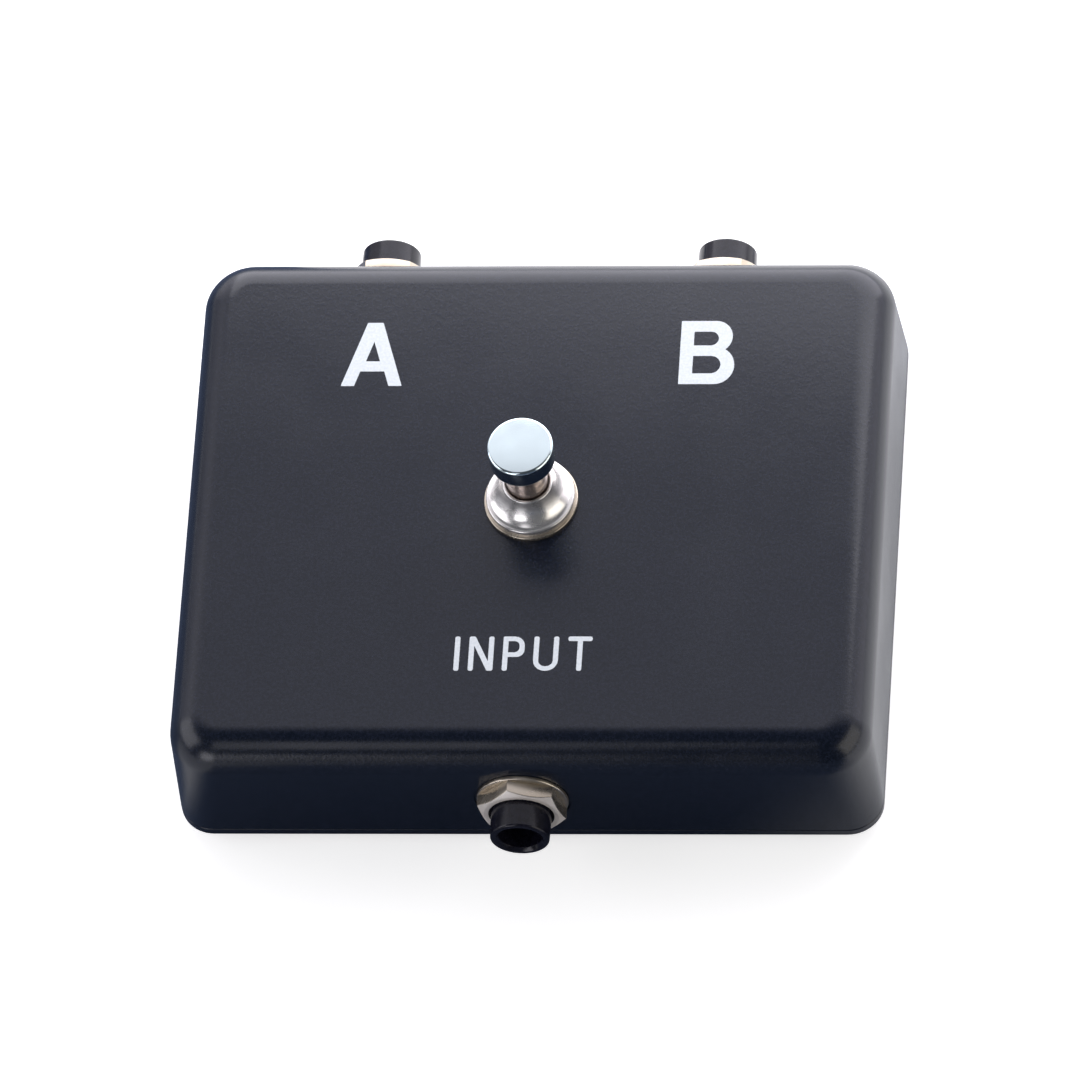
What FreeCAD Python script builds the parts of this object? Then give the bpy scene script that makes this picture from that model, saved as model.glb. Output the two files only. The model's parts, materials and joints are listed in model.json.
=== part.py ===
"""A/B foot switch box: one quarter-inch input sent to output A or output B by a push button.

Millimetres, +Z up. The origin is on the surface that the feet stand on, at the middle of the case.
The input jack faces -Y, the two output jacks face +Y, and the button stands on the top.
"""

import FreeCAD, Part
import math
import os
import Sketcher

# Driving sizes: name, value and what it measures. Lengths are in millimetres, angles in degrees.
SIZES = {
    "case_width": (108.0, "case, side to side at its open edge"),
    "case_depth": (89.8, "case, front to back at its open edge"),
    "case_height": (22.0, "case, open edge to top"),
    "case_draft": (0.5, "how far each wall leans in by the top"),
    "case_corner": (7.0, "round of the upright corners"),
    "case_edge": (5.5, "round of the top edge"),
    "corner_left": (0.2, "least upright corner that the soft edge leaves"),
    "case_wall": (2.2, "thickness of the walls"),
    "case_roof": (2.0, "thickness of the top"),
    "plate_thickness": (1.5, "bottom plate"),
    "foot_height": (2.5, "rubber foot"),
    "foot_side": (10.0, "rubber foot, each way"),
    "foot_corner": (2.0, "round of the foot's corners"),
    "foot_bevel": (0.6, "slope round the foot's lower edge"),
    "foot_end_inset": (11.0, "end of the plate to the foot"),
    "foot_inset": (0.3, "side of the plate to the foot"),
    "screw_inset": (6.2, "side of the case to the screw's axis"),
    "screw_radius": (1.5, "cover screw's shank"),
    "screw_head_radius": (2.9, "cover screw's head"),
    "screw_head_height": (1.3, "cone of the countersunk head"),
    "screw_length": (9.0, "cover screw, overall"),
    "cross_depth": (0.8, "cross in the screw's head"),
    "cross_arm": (1.75, "middle of the cross to the end of an arm"),
    "cross_half": (0.38, "half the width of the cross's arms"),
    "thread_spare": (1.0, "screw's end to the bottom of its hole"),
    "boss_radius": (4.5, "screw boss in the case's corner"),
    "boss_drop": (1.0, "start of the soft edge to the top of the boss"),
    "fit_gap": (0.05, "between a screw, rod or contact and its hole"),
    "hole_gap": (0.15, "between a bushing and the hole it passes through"),
    "jack_height": (9.5, "case's open edge to a jack's axis"),
    "jack_spacing": (52.5, "between the axes of the two output jacks"),
    "nose_radius": (4.75, "jack's round nose"),
    "nose_reach": (6.9, "case's side to the end of the nose"),
    "nose_round": (0.9, "round at the end of the nose"),
    "bore_radius": (3.25, "hole for the plug"),
    "mouth_chamfer": (0.5, "lead-in of the plug's hole"),
    "nut_flats": (12.0, "jack's hex nut, across its flats"),
    "nut_thickness": (2.4, "jack's hex nut"),
    "jack_washer_radius": (7.0, "jack's flat washer"),
    "jack_washer_thickness": (0.7, "jack's flat washer"),
    "spot_margin": (0.4, "flat turned into the case round a jack's washer"),
    "spot_bite": (0.05, "least depth of that flat"),
    "shoulder_width": (15.5, "jack's shoulder, sideways"),
    "shoulder_height": (12.6, "jack's shoulder, upwards"),
    "shoulder_thickness": (2.0, "jack's shoulder"),
    "shoulder_corner": (1.0, "round of the shoulder's corners"),
    "jack_width": (14.0, "jack's housing, sideways"),
    "jack_tall": (12.4, "jack's housing, upwards"),
    "jack_length": (22.0, "jack's housing behind the wall"),
    "jack_side": (1.5, "side and rear walls of the jack's housing"),
    "jack_floor": (1.6, "floor of the jack's housing"),
    "jack_front": (1.0, "wall between the shoulder and the jack's chamber"),
    "leaf_thickness": (0.4, "contact spring strip"),
    "leaf_width": (3.0, "contact spring strip"),
    "leaf_reach": (3.6, "jack's solder lug behind the housing"),
    "lug_hole_radius": (0.6, "hole in a solder lug"),
    "tip_heel": (2.0, "chamber's rear to the tip spring's first bend"),
    "tip_crest": (7.5, "chamber's rear to the tip spring's crest"),
    "tip_toe": (10.5, "chamber's rear to the tip spring's free end"),
    "tip_bite": (0.6, "how far the tip spring stands into the plug's way"),
    "tip_toe_rise": (1.0, "tip spring's free end over the floor"),
    "sleeve_toe": (0.5, "chamber's front to the sleeve spring's free end"),
    "sleeve_crest": (2.0, "sleeve spring's free end to its crest"),
    "sleeve_heel": (5.0, "sleeve spring's crest to its first bend"),
    "sleeve_bite": (0.2, "how far the sleeve spring stands into the plug's way"),
    "sleeve_toe_in": (0.2, "sleeve spring's free end off the wall"),
    "switch_shift": (0.3, "middle of the case to the switch's axis, backwards"),
    "dress_washer_radius": (7.2, "washer under the collar"),
    "dress_washer_thickness": (0.8, "washer under the collar"),
    "flange_radius": (6.8, "collar's round flange"),
    "flange_thickness": (1.2, "collar's round flange"),
    "flange_fillet": (0.8, "hollow between the flange and the cone"),
    "cone_base_radius": (5.7, "collar's cone at the flange"),
    "cone_rim_radius": (3.85, "collar's cone at its rim"),
    "flange_round": (0.4, "round of the flange's edge"),
    "rim_bevel": (0.2, "slope at the cone's rim"),
    "collar_height": (5.2, "collar, flange and cone"),
    "bushing_radius": (4.0, "switch's threaded bushing"),
    "bushing_rise": (2.4, "case's top to the bushing's top"),
    "bushing_chamfer": (0.4, "lead-in at the top of the bushing's thread"),
    "thread_relief": (0.2, "bushing's top to the end of the collar's thread"),
    "bushing_flange_radius": (6.3, "bushing's flange on the frame"),
    "bushing_flange_thickness": (1.0, "bushing's flange"),
    "spigot_radius": (3.4, "bushing's spigot through the frame"),
    "lock_washer_radius": (6.2, "toothed washer"),
    "lock_washer_thickness": (0.6, "toothed washer"),
    "tooth_depth": (0.9, "notches of the toothed washer, each way"),
    "inner_nut_flats": (11.0, "switch's inner nut, across its flats"),
    "inner_nut_thickness": (1.6, "switch's inner nut"),
    "thread_left": (0.2, "bare thread between the nut and the flange"),
    "button_radius": (5.05, "push button's cap"),
    "button_height": (3.8, "push button's cap"),
    "button_round": (1.0, "round of the cap's upper edge"),
    "button_under_bevel": (0.25, "slope round the cap's lower edge"),
    "button_rise": (16.7, "case's top to the button's top at rest"),
    "button_travel": (2.4, "full press"),
    "stem_radius": (3.3, "push button's stem"),
    "stem_gap": (0.3, "between the pressed stem and the bushing"),
    "rod_radius": (2.5, "plunger rod"),
    "rod_grip": (5.0, "plunger rod inside the stem"),
    "rod_collar_radius": (3.5, "plunger rod's stop collar"),
    "rod_collar_thickness": (0.9, "plunger rod's stop collar"),
    "stop_gap": (0.1, "slack over the stop collar and under a pressed button"),
    "finger_radius": (1.6, "plunger's finger"),
    "finger_tip_radius": (0.5, "plunger's finger at its tip"),
    "finger_gap": (0.25, "between the pressed finger and the level rocker"),
    "spring_wire": (0.5, "return spring's wire"),
    "spring_room": (1.9, "height of the pressed return spring"),
    "spring_turns": (2.5, "return spring"),
    "frame_thickness": (0.8, "switch's sheet metal frame"),
    "frame_width": (9.0, "switch's frame, front to back"),
    "frame_bend": (0.65, "outer round of the frame's bends"),
    "frame_tab": (1.2, "frame's tabs turned in under the board"),
    "housing_width": (14.0, "switch's housing, sideways"),
    "housing_depth": (11.5, "switch's housing, front to back"),
    "chamber_radius": (4.1, "spring chamber in the switch's housing"),
    "ledge_thickness": (0.8, "floor of the spring chamber"),
    "finger_room": (0.4, "round the finger in the ledge"),
    "rocker_room": (4.6, "depth of the rocker's chamber"),
    "rocker_gap": (0.3, "round the turning rocker and past its pivot's ends"),
    "rocker_room_margin": (0.5, "round the level rocker in its chamber"),
    "rocker_tilt": (10.0, "rocker, each side of level"),
    "carrier_length": (6.4, "rocker's carrier"),
    "carrier_width": (6.0, "rocker's carrier"),
    "carrier_half": (0.9, "rocker's carrier, above and below its pivot"),
    "vee_half": (1.75, "half the width of the vee that the finger works in"),
    "vee_depth": (0.6, "that vee"),
    "trunnion_radius": (0.7, "rocker's pivot"),
    "trunnion_gap": (0.08, "between the rocker's pivot and its hole"),
    "rocker_length": (10.8, "rocker's contact strip"),
    "rocker_width": (4.0, "rocker's contact strip"),
    "rocker_thickness": (0.5, "rocker's contact strip"),
    "terminal_pitch": (4.6, "between neighbouring terminals"),
    "terminal_width": (2.4, "switch's solder lug"),
    "terminal_thickness": (0.6, "switch's solder lug"),
    "terminal_reach": (2.5, "switch's solder lug below the board"),
    "lug_hole_rise": (1.3, "end of a switch's solder lug to its hole"),
    "stud_radius": (1.1, "fixed contact"),
    "contact_gap": (0.05, "between the rocker's strip and the contacts"),
    "board_thickness": (1.2, "terminal board"),
    "wire_radius": (0.65, "hookup wire"),
}

doc = FreeCAD.newDocument("ab_switch_box")
sheet = doc.addObject("Spreadsheet::Sheet", "Sizes")
nodes = []


class Size:
    """A size as a number, with the spreadsheet expression that gives the same number."""

    def __init__(self, number, text):
        self.number = number
        self.text = text

    def __add__(self, other):
        return Size(self.number + number(other), f"({self.text} + {text(other)})")

    def __sub__(self, other):
        return Size(self.number - number(other), f"({self.text} - {text(other)})")

    def __mul__(self, other):
        return Size(self.number * number(other), f"({self.text} * {text(other)})")

    def __truediv__(self, other):
        return Size(self.number / number(other), f"({self.text} / {text(other)})")

    def __neg__(self):
        return Size(-self.number, f"(-1 * {self.text})")


def number(size):
    return size.number if isinstance(size, Size) else float(size)


def text(size):
    return size.text if isinstance(size, Size) else repr(float(size))


def smaller(first, second):
    return Size(min(number(first), number(second)), f"min({text(first)}; {text(second)})")


def sine(angle):
    return Size(math.sin(math.radians(number(angle))), f"sin({text(angle)})")


def cosine(angle):
    return Size(math.cos(math.radians(number(angle))), f"cos({text(angle)})")


def slope_angle(rise, run):
    return Size(math.degrees(math.atan(number(rise) / number(run))), f"atan({text(rise)} / {text(run)})")


for row, (name, (amount, meaning)) in enumerate(SIZES.items(), start=1):
    sheet.set(f"A{row}", name)
    sheet.set(f"B{row}", str(amount))
    sheet.set(f"C{row}", meaning)
    sheet.setAlias(f"B{row}", name)
doc.recompute()


def size(name):
    return Size(float(sheet.get(name)), f"Sizes.{name}")


# Levels and places that several pieces share, in the frame of the whole box

PLATE_BOTTOM = size("foot_height")
CASE_BOTTOM = PLATE_BOTTOM + size("plate_thickness")
CASE_TOP = CASE_BOTTOM + size("case_height")
HALF_WIDTH = size("case_width") / 2
HALF_DEPTH = size("case_depth") / 2
SCREW_X = HALF_WIDTH - size("screw_inset")
SCREW_Y = HALF_DEPTH - size("screw_inset")
EDGE_ROUND = smaller(size("case_edge"), size("case_corner") - size("case_draft") - size("corner_left"))
BOSS_HEIGHT = size("case_height") - EDGE_ROUND - size("boss_drop")
THROUGH = 1.5  # a cut goes half as far again as the wall that it passes through

# A jack's places along its own axis: 0 is the inner face of the wall, outwards is positive

SPOT_RADIUS = size("jack_washer_radius") + size("spot_margin")
SPOT_SLOPE = size("case_draft") * (size("jack_height") + SPOT_RADIUS) / size("case_height")
SPOT_DEPTH = SPOT_SLOPE + size("spot_bite")
SPOT_FACE = size("case_wall") - SPOT_DEPTH
NUT_FACE = SPOT_FACE + size("jack_washer_thickness")
NOSE_END = size("case_wall") + size("nose_reach")
JACK_REAR = -size("jack_length")
CHAMBER_FRONT = -size("shoulder_thickness") - size("jack_front")
CHAMBER_REAR = JACK_REAR + size("jack_side")
CHAMBER_HALF = size("jack_width") / 2 - size("jack_side")
CHAMBER_FLOOR = -size("jack_tall") / 2 + size("jack_floor")

# The switch's levels, all from the case's top, with down negative

COLLAR_RIM = size("dress_washer_thickness") + size("collar_height")
LOCK_WASHER_TOP = -size("case_roof")
INNER_NUT_TOP = LOCK_WASHER_TOP - size("lock_washer_thickness")
BUSHING_SHOULDER = INNER_NUT_TOP - size("inner_nut_thickness") - size("thread_left")
FRAME_TOP = BUSHING_SHOULDER - size("bushing_flange_thickness")
HOUSING_TOP = FRAME_TOP - size("frame_thickness")
ROD_COLLAR_TOP = HOUSING_TOP - size("stop_gap")
ROD_COLLAR_BOTTOM = ROD_COLLAR_TOP - size("rod_collar_thickness")
LEDGE_TOP = ROD_COLLAR_BOTTOM - size("button_travel") - size("spring_room")
LEDGE_BOTTOM = LEDGE_TOP - size("ledge_thickness")
BOARD_TOP = LEDGE_BOTTOM - size("rocker_room")
BOARD_BOTTOM = BOARD_TOP - size("board_thickness")
TERMINAL_END = BOARD_BOTTOM - size("terminal_reach")
TILT_SINE = sine(size("rocker_tilt"))
TILT_COSINE = cosine(size("rocker_tilt"))
CARRIER_SWEEP = size("carrier_half") * TILT_COSINE + size("carrier_length") / 2 * TILT_SINE
PIVOT = LEDGE_BOTTOM - CARRIER_SWEEP - size("rocker_gap")
STEM_BOTTOM = size("bushing_rise") + size("button_travel") + size("stem_gap")
ROD_TOP = STEM_BOTTOM + size("rod_grip")
FINGER_TIP = PIVOT + size("carrier_half") + size("button_travel") + size("finger_gap")
STRIP_BOTTOM = size("carrier_half") + size("rocker_thickness")
LUG_HOLE = TERMINAL_END + size("lug_hole_rise")


# Ways of drawing that every piece uses

def bind(thing, prop, value):
    thing.setExpression(prop, text(value))


def new_body(node):
    body = doc.addObject("PartDesign::Body", node)
    body.Label = node
    nodes.append(body)
    return body


def plane(body, role):
    for feature in body.Origin.OriginFeatures:
        if feature.Role == role:
            return feature


def new_sketch(body, name, role="XY_Plane", lift=None):
    """An empty sketch on one of the body's own planes, lifted along that plane's normal."""
    sketch = body.newObject("Sketcher::SketchObject", f"{body.Name}_{name}")
    sketch.AttachmentSupport = [(plane(body, role), "")]
    sketch.MapMode = "FlatFace"
    if lift is not None:
        bind(sketch, "AttachmentOffset.Base.z", lift)
    return sketch


def pin_point(sketch, geometry, vertex, x, y):
    """Ties a vertex of the sketch to its two coordinates."""
    for kind, value in (("DistanceX", x), ("DistanceY", y)):
        constraint = Sketcher.Constraint(kind, -1, 1, geometry, vertex, number(value))
        index = sketch.addConstraint(constraint)
        bind(sketch, f"Constraints[{index}]", value)


def draw_circle(sketch, x, y, radius):
    centre = FreeCAD.Vector(number(x), number(y), 0)
    circle = sketch.addGeometry(Part.Circle(centre, FreeCAD.Vector(0, 0, 1), number(radius)))
    pin_point(sketch, circle, 3, x, y)
    index = sketch.addConstraint(Sketcher.Constraint("Radius", circle, number(radius)))
    bind(sketch, f"Constraints[{index}]", radius)


def draw_outline(sketch, points):
    """A closed outline of straight lines through the points."""
    spots = [FreeCAD.Vector(number(x), number(y), 0) for x, y in points]
    first = sketch.GeometryCount
    for start, end in zip(spots, spots[1:] + spots[:1]):
        sketch.addGeometry(Part.LineSegment(start, end))
    for index, (x, y) in enumerate(points):
        following = (index + 1) % len(points)
        sketch.addConstraint(Sketcher.Constraint("Coincident", first + index, 2, first + following, 1))
        pin_point(sketch, first + index, 1, x, y)


def draw_rectangle(sketch, left, low, right, high):
    draw_outline(sketch, [(left, low), (right, low), (right, high), (left, high)])


def draw_rounded(sketch, half_x, half_y, radius):
    """A rectangle about the middle with four rounded corners."""
    inner_x = half_x - radius
    inner_y = half_y - radius
    sides = [
        ((-inner_x, -half_y), (inner_x, -half_y)),
        ((half_x, -inner_y), (half_x, inner_y)),
        ((inner_x, half_y), (-inner_x, half_y)),
        ((-half_x, inner_y), (-half_x, -inner_y)),
    ]
    lines = []
    for ends in sides:
        spots = [FreeCAD.Vector(number(x), number(y), 0) for x, y in ends]
        line = sketch.addGeometry(Part.LineSegment(*spots))
        pin_point(sketch, line, 1, *ends[0])
        pin_point(sketch, line, 2, *ends[1])
        lines.append(line)
    quarter = math.pi / 2
    centres = [(inner_x, -inner_y), (inner_x, inner_y), (-inner_x, inner_y), (-inner_x, -inner_y)]
    for index, (x, y) in enumerate(centres):
        centre = FreeCAD.Vector(number(x), number(y), 0)
        circle = Part.Circle(centre, FreeCAD.Vector(0, 0, 1), number(radius))
        arc = sketch.addGeometry(Part.ArcOfCircle(circle, (index - 1) * quarter, index * quarter))
        following = lines[(index + 1) % len(lines)]
        sketch.addConstraint(Sketcher.Constraint("Coincident", arc, 1, lines[index], 2))
        sketch.addConstraint(Sketcher.Constraint("Coincident", arc, 2, following, 1))
        constraint = sketch.addConstraint(Sketcher.Constraint("Radius", arc, number(radius)))
        bind(sketch, f"Constraints[{constraint}]", radius)


def draw_hexagon(sketch, flats):
    """A hexagon with two corners on the X axis."""
    radius = flats / math.sqrt(3)
    spots = []
    for corner in range(6):
        angle = math.radians(60 * corner)
        spots.append((radius * math.cos(angle), radius * math.sin(angle)))
    draw_outline(sketch, spots)


def add_pad(body, name, sketch, length, down=False, middle=False, taper=None):
    pad = body.newObject("PartDesign::Pad", f"{body.Name}_{name}")
    pad.Profile = sketch
    pad.Reversed = down
    pad.SideType = "Symmetric" if middle else "One side"
    bind(pad, "Length", length)
    if taper is not None:
        bind(pad, "TaperAngle", taper)
    return pad


def add_pocket(body, name, sketch, length, up=False, middle=False, taper=None):
    """Cuts against the sketch's normal, or along it with up."""
    pocket = body.newObject("PartDesign::Pocket", f"{body.Name}_{name}")
    pocket.Profile = sketch
    pocket.Reversed = up
    pocket.SideType = "Symmetric" if middle else "One side"
    bind(pocket, "Length", length)
    if taper is not None:
        bind(pocket, "TaperAngle", taper)
    return pocket


def add_turned(body, name, sketch, cut=False):
    """A solid, or a cut, turned about the sketch's own upright axis."""
    kind = "PartDesign::Groove" if cut else "PartDesign::Revolution"
    turned = body.newObject(kind, f"{body.Name}_{name}")
    turned.Profile = sketch
    turned.ReferenceAxis = (sketch, ["V_Axis"])
    turned.Angle = 360.0
    return turned


def edges_where(feature, test):
    doc.recompute()
    return [f"Edge{index}" for index, edge in enumerate(feature.Shape.Edges, start=1) if test(edge)]


def ring_edge(radius, level):
    """Picks whole circles about the Z axis of this radius at this level."""
    def test(edge):
        if edge.Curve.TypeId != "Part::GeomCircle":
            return False
        same_size = abs(edge.Curve.Radius - number(radius)) < 1e-3
        same_level = abs(edge.Curve.Center.z - number(level)) < 1e-3
        central = math.hypot(edge.Curve.Center.x, edge.Curve.Center.y) < 1e-3
        return same_size and same_level and central
    return test


def level_edge(level):
    """Picks edges that lie wholly at this height."""
    def test(edge):
        box = edge.BoundBox
        return abs(box.ZMin - number(level)) < 1e-3 and abs(box.ZMax - number(level)) < 1e-3
    return test


def add_round(body, name, feature, test, radius, chamfer=False):
    """Rounds, or chamfers, the edges of the last feature that the test picks."""
    kind = "PartDesign::Chamfer" if chamfer else "PartDesign::Fillet"
    rounding = body.newObject(kind, f"{body.Name}_{name}")
    rounding.Base = (feature, edges_where(feature, test))
    bind(rounding, "Size" if chamfer else "Radius", radius)
    return rounding


def place(body, x, y, z, rotation=None):
    if rotation is not None:
        body.Placement = FreeCAD.Placement(FreeCAD.Vector(), rotation)
    for axis, value in (("x", x), ("y", y), ("z", z)):
        bind(body, f"Placement.Base.{axis}", value)


def place_on_switch(body):
    place(body, 0.0, size("switch_shift"), CASE_TOP)


# The case

def make_top_case():
    """A cast box, open below: leaning walls, soft top edge, screw bosses and holes for what it carries."""
    body = new_body("top_case")
    height = size("case_height")
    ceiling = height - size("case_roof")
    outline = new_sketch(body, "outline")
    draw_rounded(outline, HALF_WIDTH, HALF_DEPTH, size("case_corner"))
    block = add_pad(body, "block", outline, height, taper=-slope_angle(size("case_draft"), height))
    add_round(body, "soft_edge", block, level_edge(height), EDGE_ROUND)

    inside = new_sketch(body, "inside")
    wall = size("case_wall")
    draw_rounded(inside, HALF_WIDTH - wall, HALF_DEPTH - wall, size("case_corner") - wall)
    cavity = add_pocket(body, "cavity", inside, ceiling, up=True)
    add_round(body, "inner_edge", cavity, level_edge(ceiling), EDGE_ROUND - wall)

    bosses = new_sketch(body, "bosses")
    holes = new_sketch(body, "screw_holes")
    for sx in (-1, 1):
        for sy in (-1, 1):
            draw_circle(bosses, SCREW_X * sx, SCREW_Y * sy, size("boss_radius"))
            draw_circle(holes, SCREW_X * sx, SCREW_Y * sy, size("screw_radius") + size("fit_gap"))
    add_pad(body, "boss_columns", bosses, BOSS_HEIGHT)
    add_pocket(body, "screw_threads", holes, size("screw_length") + size("thread_spare"), up=True)

    switch_hole = new_sketch(body, "switch_hole", lift=height)
    draw_circle(switch_hole, 0.0, size("switch_shift"), size("bushing_radius") + size("hole_gap"))
    add_pocket(body, "switch_bore", switch_hole, size("case_roof") * THROUGH)

    for side, places in ((-1, [0.0]), (1, [-size("jack_spacing") / 2, size("jack_spacing") / 2])):
        wall_name = "front" if side < 0 else "back"
        lift = HALF_DEPTH * (-side)
        spots = new_sketch(body, f"{wall_name}_spots", "XZ_Plane", lift=lift)
        bores = new_sketch(body, f"{wall_name}_bores", "XZ_Plane", lift=lift)
        for x in places:
            draw_circle(spots, x, size("jack_height"), SPOT_RADIUS)
            draw_circle(bores, x, size("jack_height"), size("nose_radius") + size("hole_gap"))
        add_pocket(body, f"{wall_name}_spot_faces", spots, SPOT_DEPTH, up=side > 0)
        add_pocket(body, f"{wall_name}_jack_bores", bores, wall * THROUGH, up=side > 0)
    place(body, 0.0, 0.0, CASE_BOTTOM)


def make_bottom_plate():
    """A flat sheet under the whole case, countersunk for the four cover screws."""
    body = new_body("bottom_plate")
    outline = new_sketch(body, "outline")
    draw_rounded(outline, HALF_WIDTH, HALF_DEPTH, size("case_corner"))
    add_pad(body, "sheet", outline, size("plate_thickness"))
    shank = size("screw_radius") + size("fit_gap")
    head = size("screw_head_radius") + size("fit_gap")
    holes = new_sketch(body, "screw_holes")
    sinks = new_sketch(body, "countersinks")
    for sx in (-1, 1):
        for sy in (-1, 1):
            draw_circle(holes, SCREW_X * sx, SCREW_Y * sy, shank)
            draw_circle(sinks, SCREW_X * sx, SCREW_Y * sy, head)
    add_pocket(body, "screw_ways", holes, size("plate_thickness") * THROUGH, up=True)
    cone = slope_angle(head - shank, size("screw_head_height"))
    add_pocket(body, "countersunk", sinks, size("screw_head_height"), up=True, taper=-cone)
    place(body, 0.0, 0.0, PLATE_BOTTOM)


def make_cover_screws():
    """Four countersunk screws with crossed recesses, drawn at one corner and mirrored to the others."""
    body = new_body("cover_screws")
    shank = size("screw_radius")
    profile = new_sketch(body, "profile", "XZ_Plane", lift=SCREW_Y)
    draw_outline(profile, [
        (SCREW_X, 0.0),
        (SCREW_X + size("screw_head_radius"), 0.0),
        (SCREW_X + shank, size("screw_head_height")),
        (SCREW_X + shank, size("screw_length")),
        (SCREW_X, size("screw_length")),
    ])
    axis = draw_axis(profile, SCREW_X, size("screw_length"))
    turned = body.newObject("PartDesign::Revolution", "cover_screws_turned")
    turned.Profile = profile
    turned.ReferenceAxis = (profile, [axis])
    turned.Angle = 360.0
    cross = new_sketch(body, "cross")
    arm = size("cross_arm")
    half = size("cross_half")
    draw_outline(cross, [(SCREW_X + x, -SCREW_Y + y) for x, y in [
        (half, half), (half, arm), (-half, arm), (-half, half), (-arm, half), (-arm, -half),
        (-half, -half), (-half, -arm), (half, -arm), (half, -half), (arm, -half), (arm, half)]])
    recess = add_pocket(body, "recess", cross, size("cross_depth"), up=True)
    doc.recompute()
    everywhere = body.newObject("PartDesign::MultiTransform", "cover_screws_everywhere")
    everywhere.Originals = [turned, recess]
    mirrors = []
    for role in ("YZ_Plane", "XZ_Plane"):
        mirror = body.newObject("PartDesign::Mirrored", f"cover_screws_{role[:2]}")
        mirror.MirrorPlane = (plane(body, role), [""])
        mirrors.append(mirror)
    everywhere.Transformations = mirrors
    body.Tip = everywhere
    place(body, 0.0, 0.0, PLATE_BOTTOM)


def draw_axis(sketch, x, length):
    """An upright construction line at x, for a feature to turn about."""
    start = FreeCAD.Vector(number(x), 0, 0)
    end = FreeCAD.Vector(number(x), number(length), 0)
    line = sketch.addGeometry(Part.LineSegment(start, end), True)
    pin_point(sketch, line, 1, x, 0.0)
    pin_point(sketch, line, 2, x, length)
    return "Axis0"


def make_foot(node, side, end):
    """A moulded rubber foot near one side of the plate, narrower at the floor."""
    body = new_body(node)
    half = size("foot_side") / 2
    outline = new_sketch(body, "outline")
    draw_rounded(outline, half, half, size("foot_corner"))
    pad = add_pad(body, "pad", outline, size("foot_height"), down=True)
    low_edge = level_edge(-size("foot_height"))
    add_round(body, "worn_edge", pad, low_edge, size("foot_bevel"), chamfer=True)
    x = HALF_WIDTH - size("foot_inset") - half
    y = HALF_DEPTH - size("foot_end_inset") - half
    place(body, x * side, y * end, PLATE_BOTTOM)


# The jacks: each piece is drawn with the plug's axis along Z, outwards up, and Y towards the top of the box

FACING = {
    "front": FreeCAD.Rotation(
        FreeCAD.Vector(1, 0, 0), FreeCAD.Vector(0, 0, 1), FreeCAD.Vector(0, -1, 0), "ZYX"),
    "back": FreeCAD.Rotation(
        FreeCAD.Vector(-1, 0, 0), FreeCAD.Vector(0, 0, 1), FreeCAD.Vector(0, 1, 0), "ZYX"),
}


def make_jack_housing(node):
    """A black moulded jack: round nose, square shoulder and an open-topped chamber for the springs."""
    body = new_body(node)
    nose = new_sketch(body, "nose")
    draw_circle(nose, 0.0, 0.0, size("nose_radius"))
    tube = add_pad(body, "nose_tube", nose, NOSE_END)
    add_round(body, "nose_end", tube, level_edge(NOSE_END), size("nose_round"))
    shoulder = new_sketch(body, "shoulder")
    half_wide = size("shoulder_width") / 2
    half_tall = size("shoulder_height") / 2
    draw_rounded(shoulder, half_wide, half_tall, size("shoulder_corner"))
    add_pad(body, "shoulder_plate", shoulder, size("shoulder_thickness"), down=True)
    block = new_sketch(body, "block")
    wide = size("jack_width") / 2
    tall = size("jack_tall") / 2
    draw_rectangle(block, -wide, -tall, wide, tall)
    add_pad(body, "rear_block", block, size("jack_length"), down=True)
    plug = new_sketch(body, "plug", lift=NOSE_END)
    draw_circle(plug, 0.0, 0.0, size("bore_radius"))
    bore = add_pocket(body, "plug_bore", plug, NOSE_END - CHAMBER_FRONT + size("jack_front"))
    mouth = ring_edge(size("bore_radius"), NOSE_END)
    add_round(body, "mouth", bore, mouth, size("mouth_chamfer"), chamfer=True)
    chamber = new_sketch(body, "chamber", "XZ_Plane", lift=-tall)
    draw_rectangle(chamber, -CHAMBER_HALF, CHAMBER_REAR, CHAMBER_HALF, CHAMBER_FRONT)
    add_pocket(body, "open_chamber", chamber, tall - CHAMBER_FLOOR, up=True)
    slots = new_sketch(body, "slots", lift=JACK_REAR)
    gap = size("fit_gap")
    leaf_half = size("leaf_width") / 2 + gap
    thickness = size("leaf_thickness") + gap
    draw_rectangle(slots, -leaf_half, CHAMBER_FLOOR, leaf_half, CHAMBER_FLOOR + thickness)
    draw_rectangle(slots, -CHAMBER_HALF, -leaf_half, -CHAMBER_HALF + thickness, leaf_half)
    add_pocket(body, "lug_slots", slots, size("jack_side") * THROUGH, up=True)
    return body


CORNER_CUT_START = 0.97  # where the cone starts, as a share of half the flats
CORNER_CUT_REACH = 1.4  # past the corners, as a share of half the flats
CORNER_CUT_ANGLE = 30


def make_hex_nut(node, flats, thread, thickness):
    """A hex nut with a 30 degree cone turned off its outer corners."""
    body = new_body(node)
    hexagon = new_sketch(body, "hexagon")
    draw_hexagon(hexagon, flats)
    draw_circle(hexagon, 0.0, 0.0, thread + size("fit_gap"))
    add_pad(body, "blank", hexagon, thickness)
    corners = new_sketch(body, "corners", "XZ_Plane")
    start = flats / 2 * CORNER_CUT_START
    reach = flats / 2 * CORNER_CUT_REACH
    drop = (reach - start) * math.tan(math.radians(CORNER_CUT_ANGLE))
    above = thickness + drop
    draw_outline(corners, [(start, thickness), (reach, thickness - drop), (reach, above), (start, above)])
    add_turned(body, "corner_cut", corners, cut=True)
    return body


def make_ring(node, inner, outer, thickness):
    body = new_body(node)
    ring = new_sketch(body, "ring")
    draw_circle(ring, 0.0, 0.0, inner)
    draw_circle(ring, 0.0, 0.0, outer)
    add_pad(body, "disc", ring, thickness)
    return body


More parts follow.
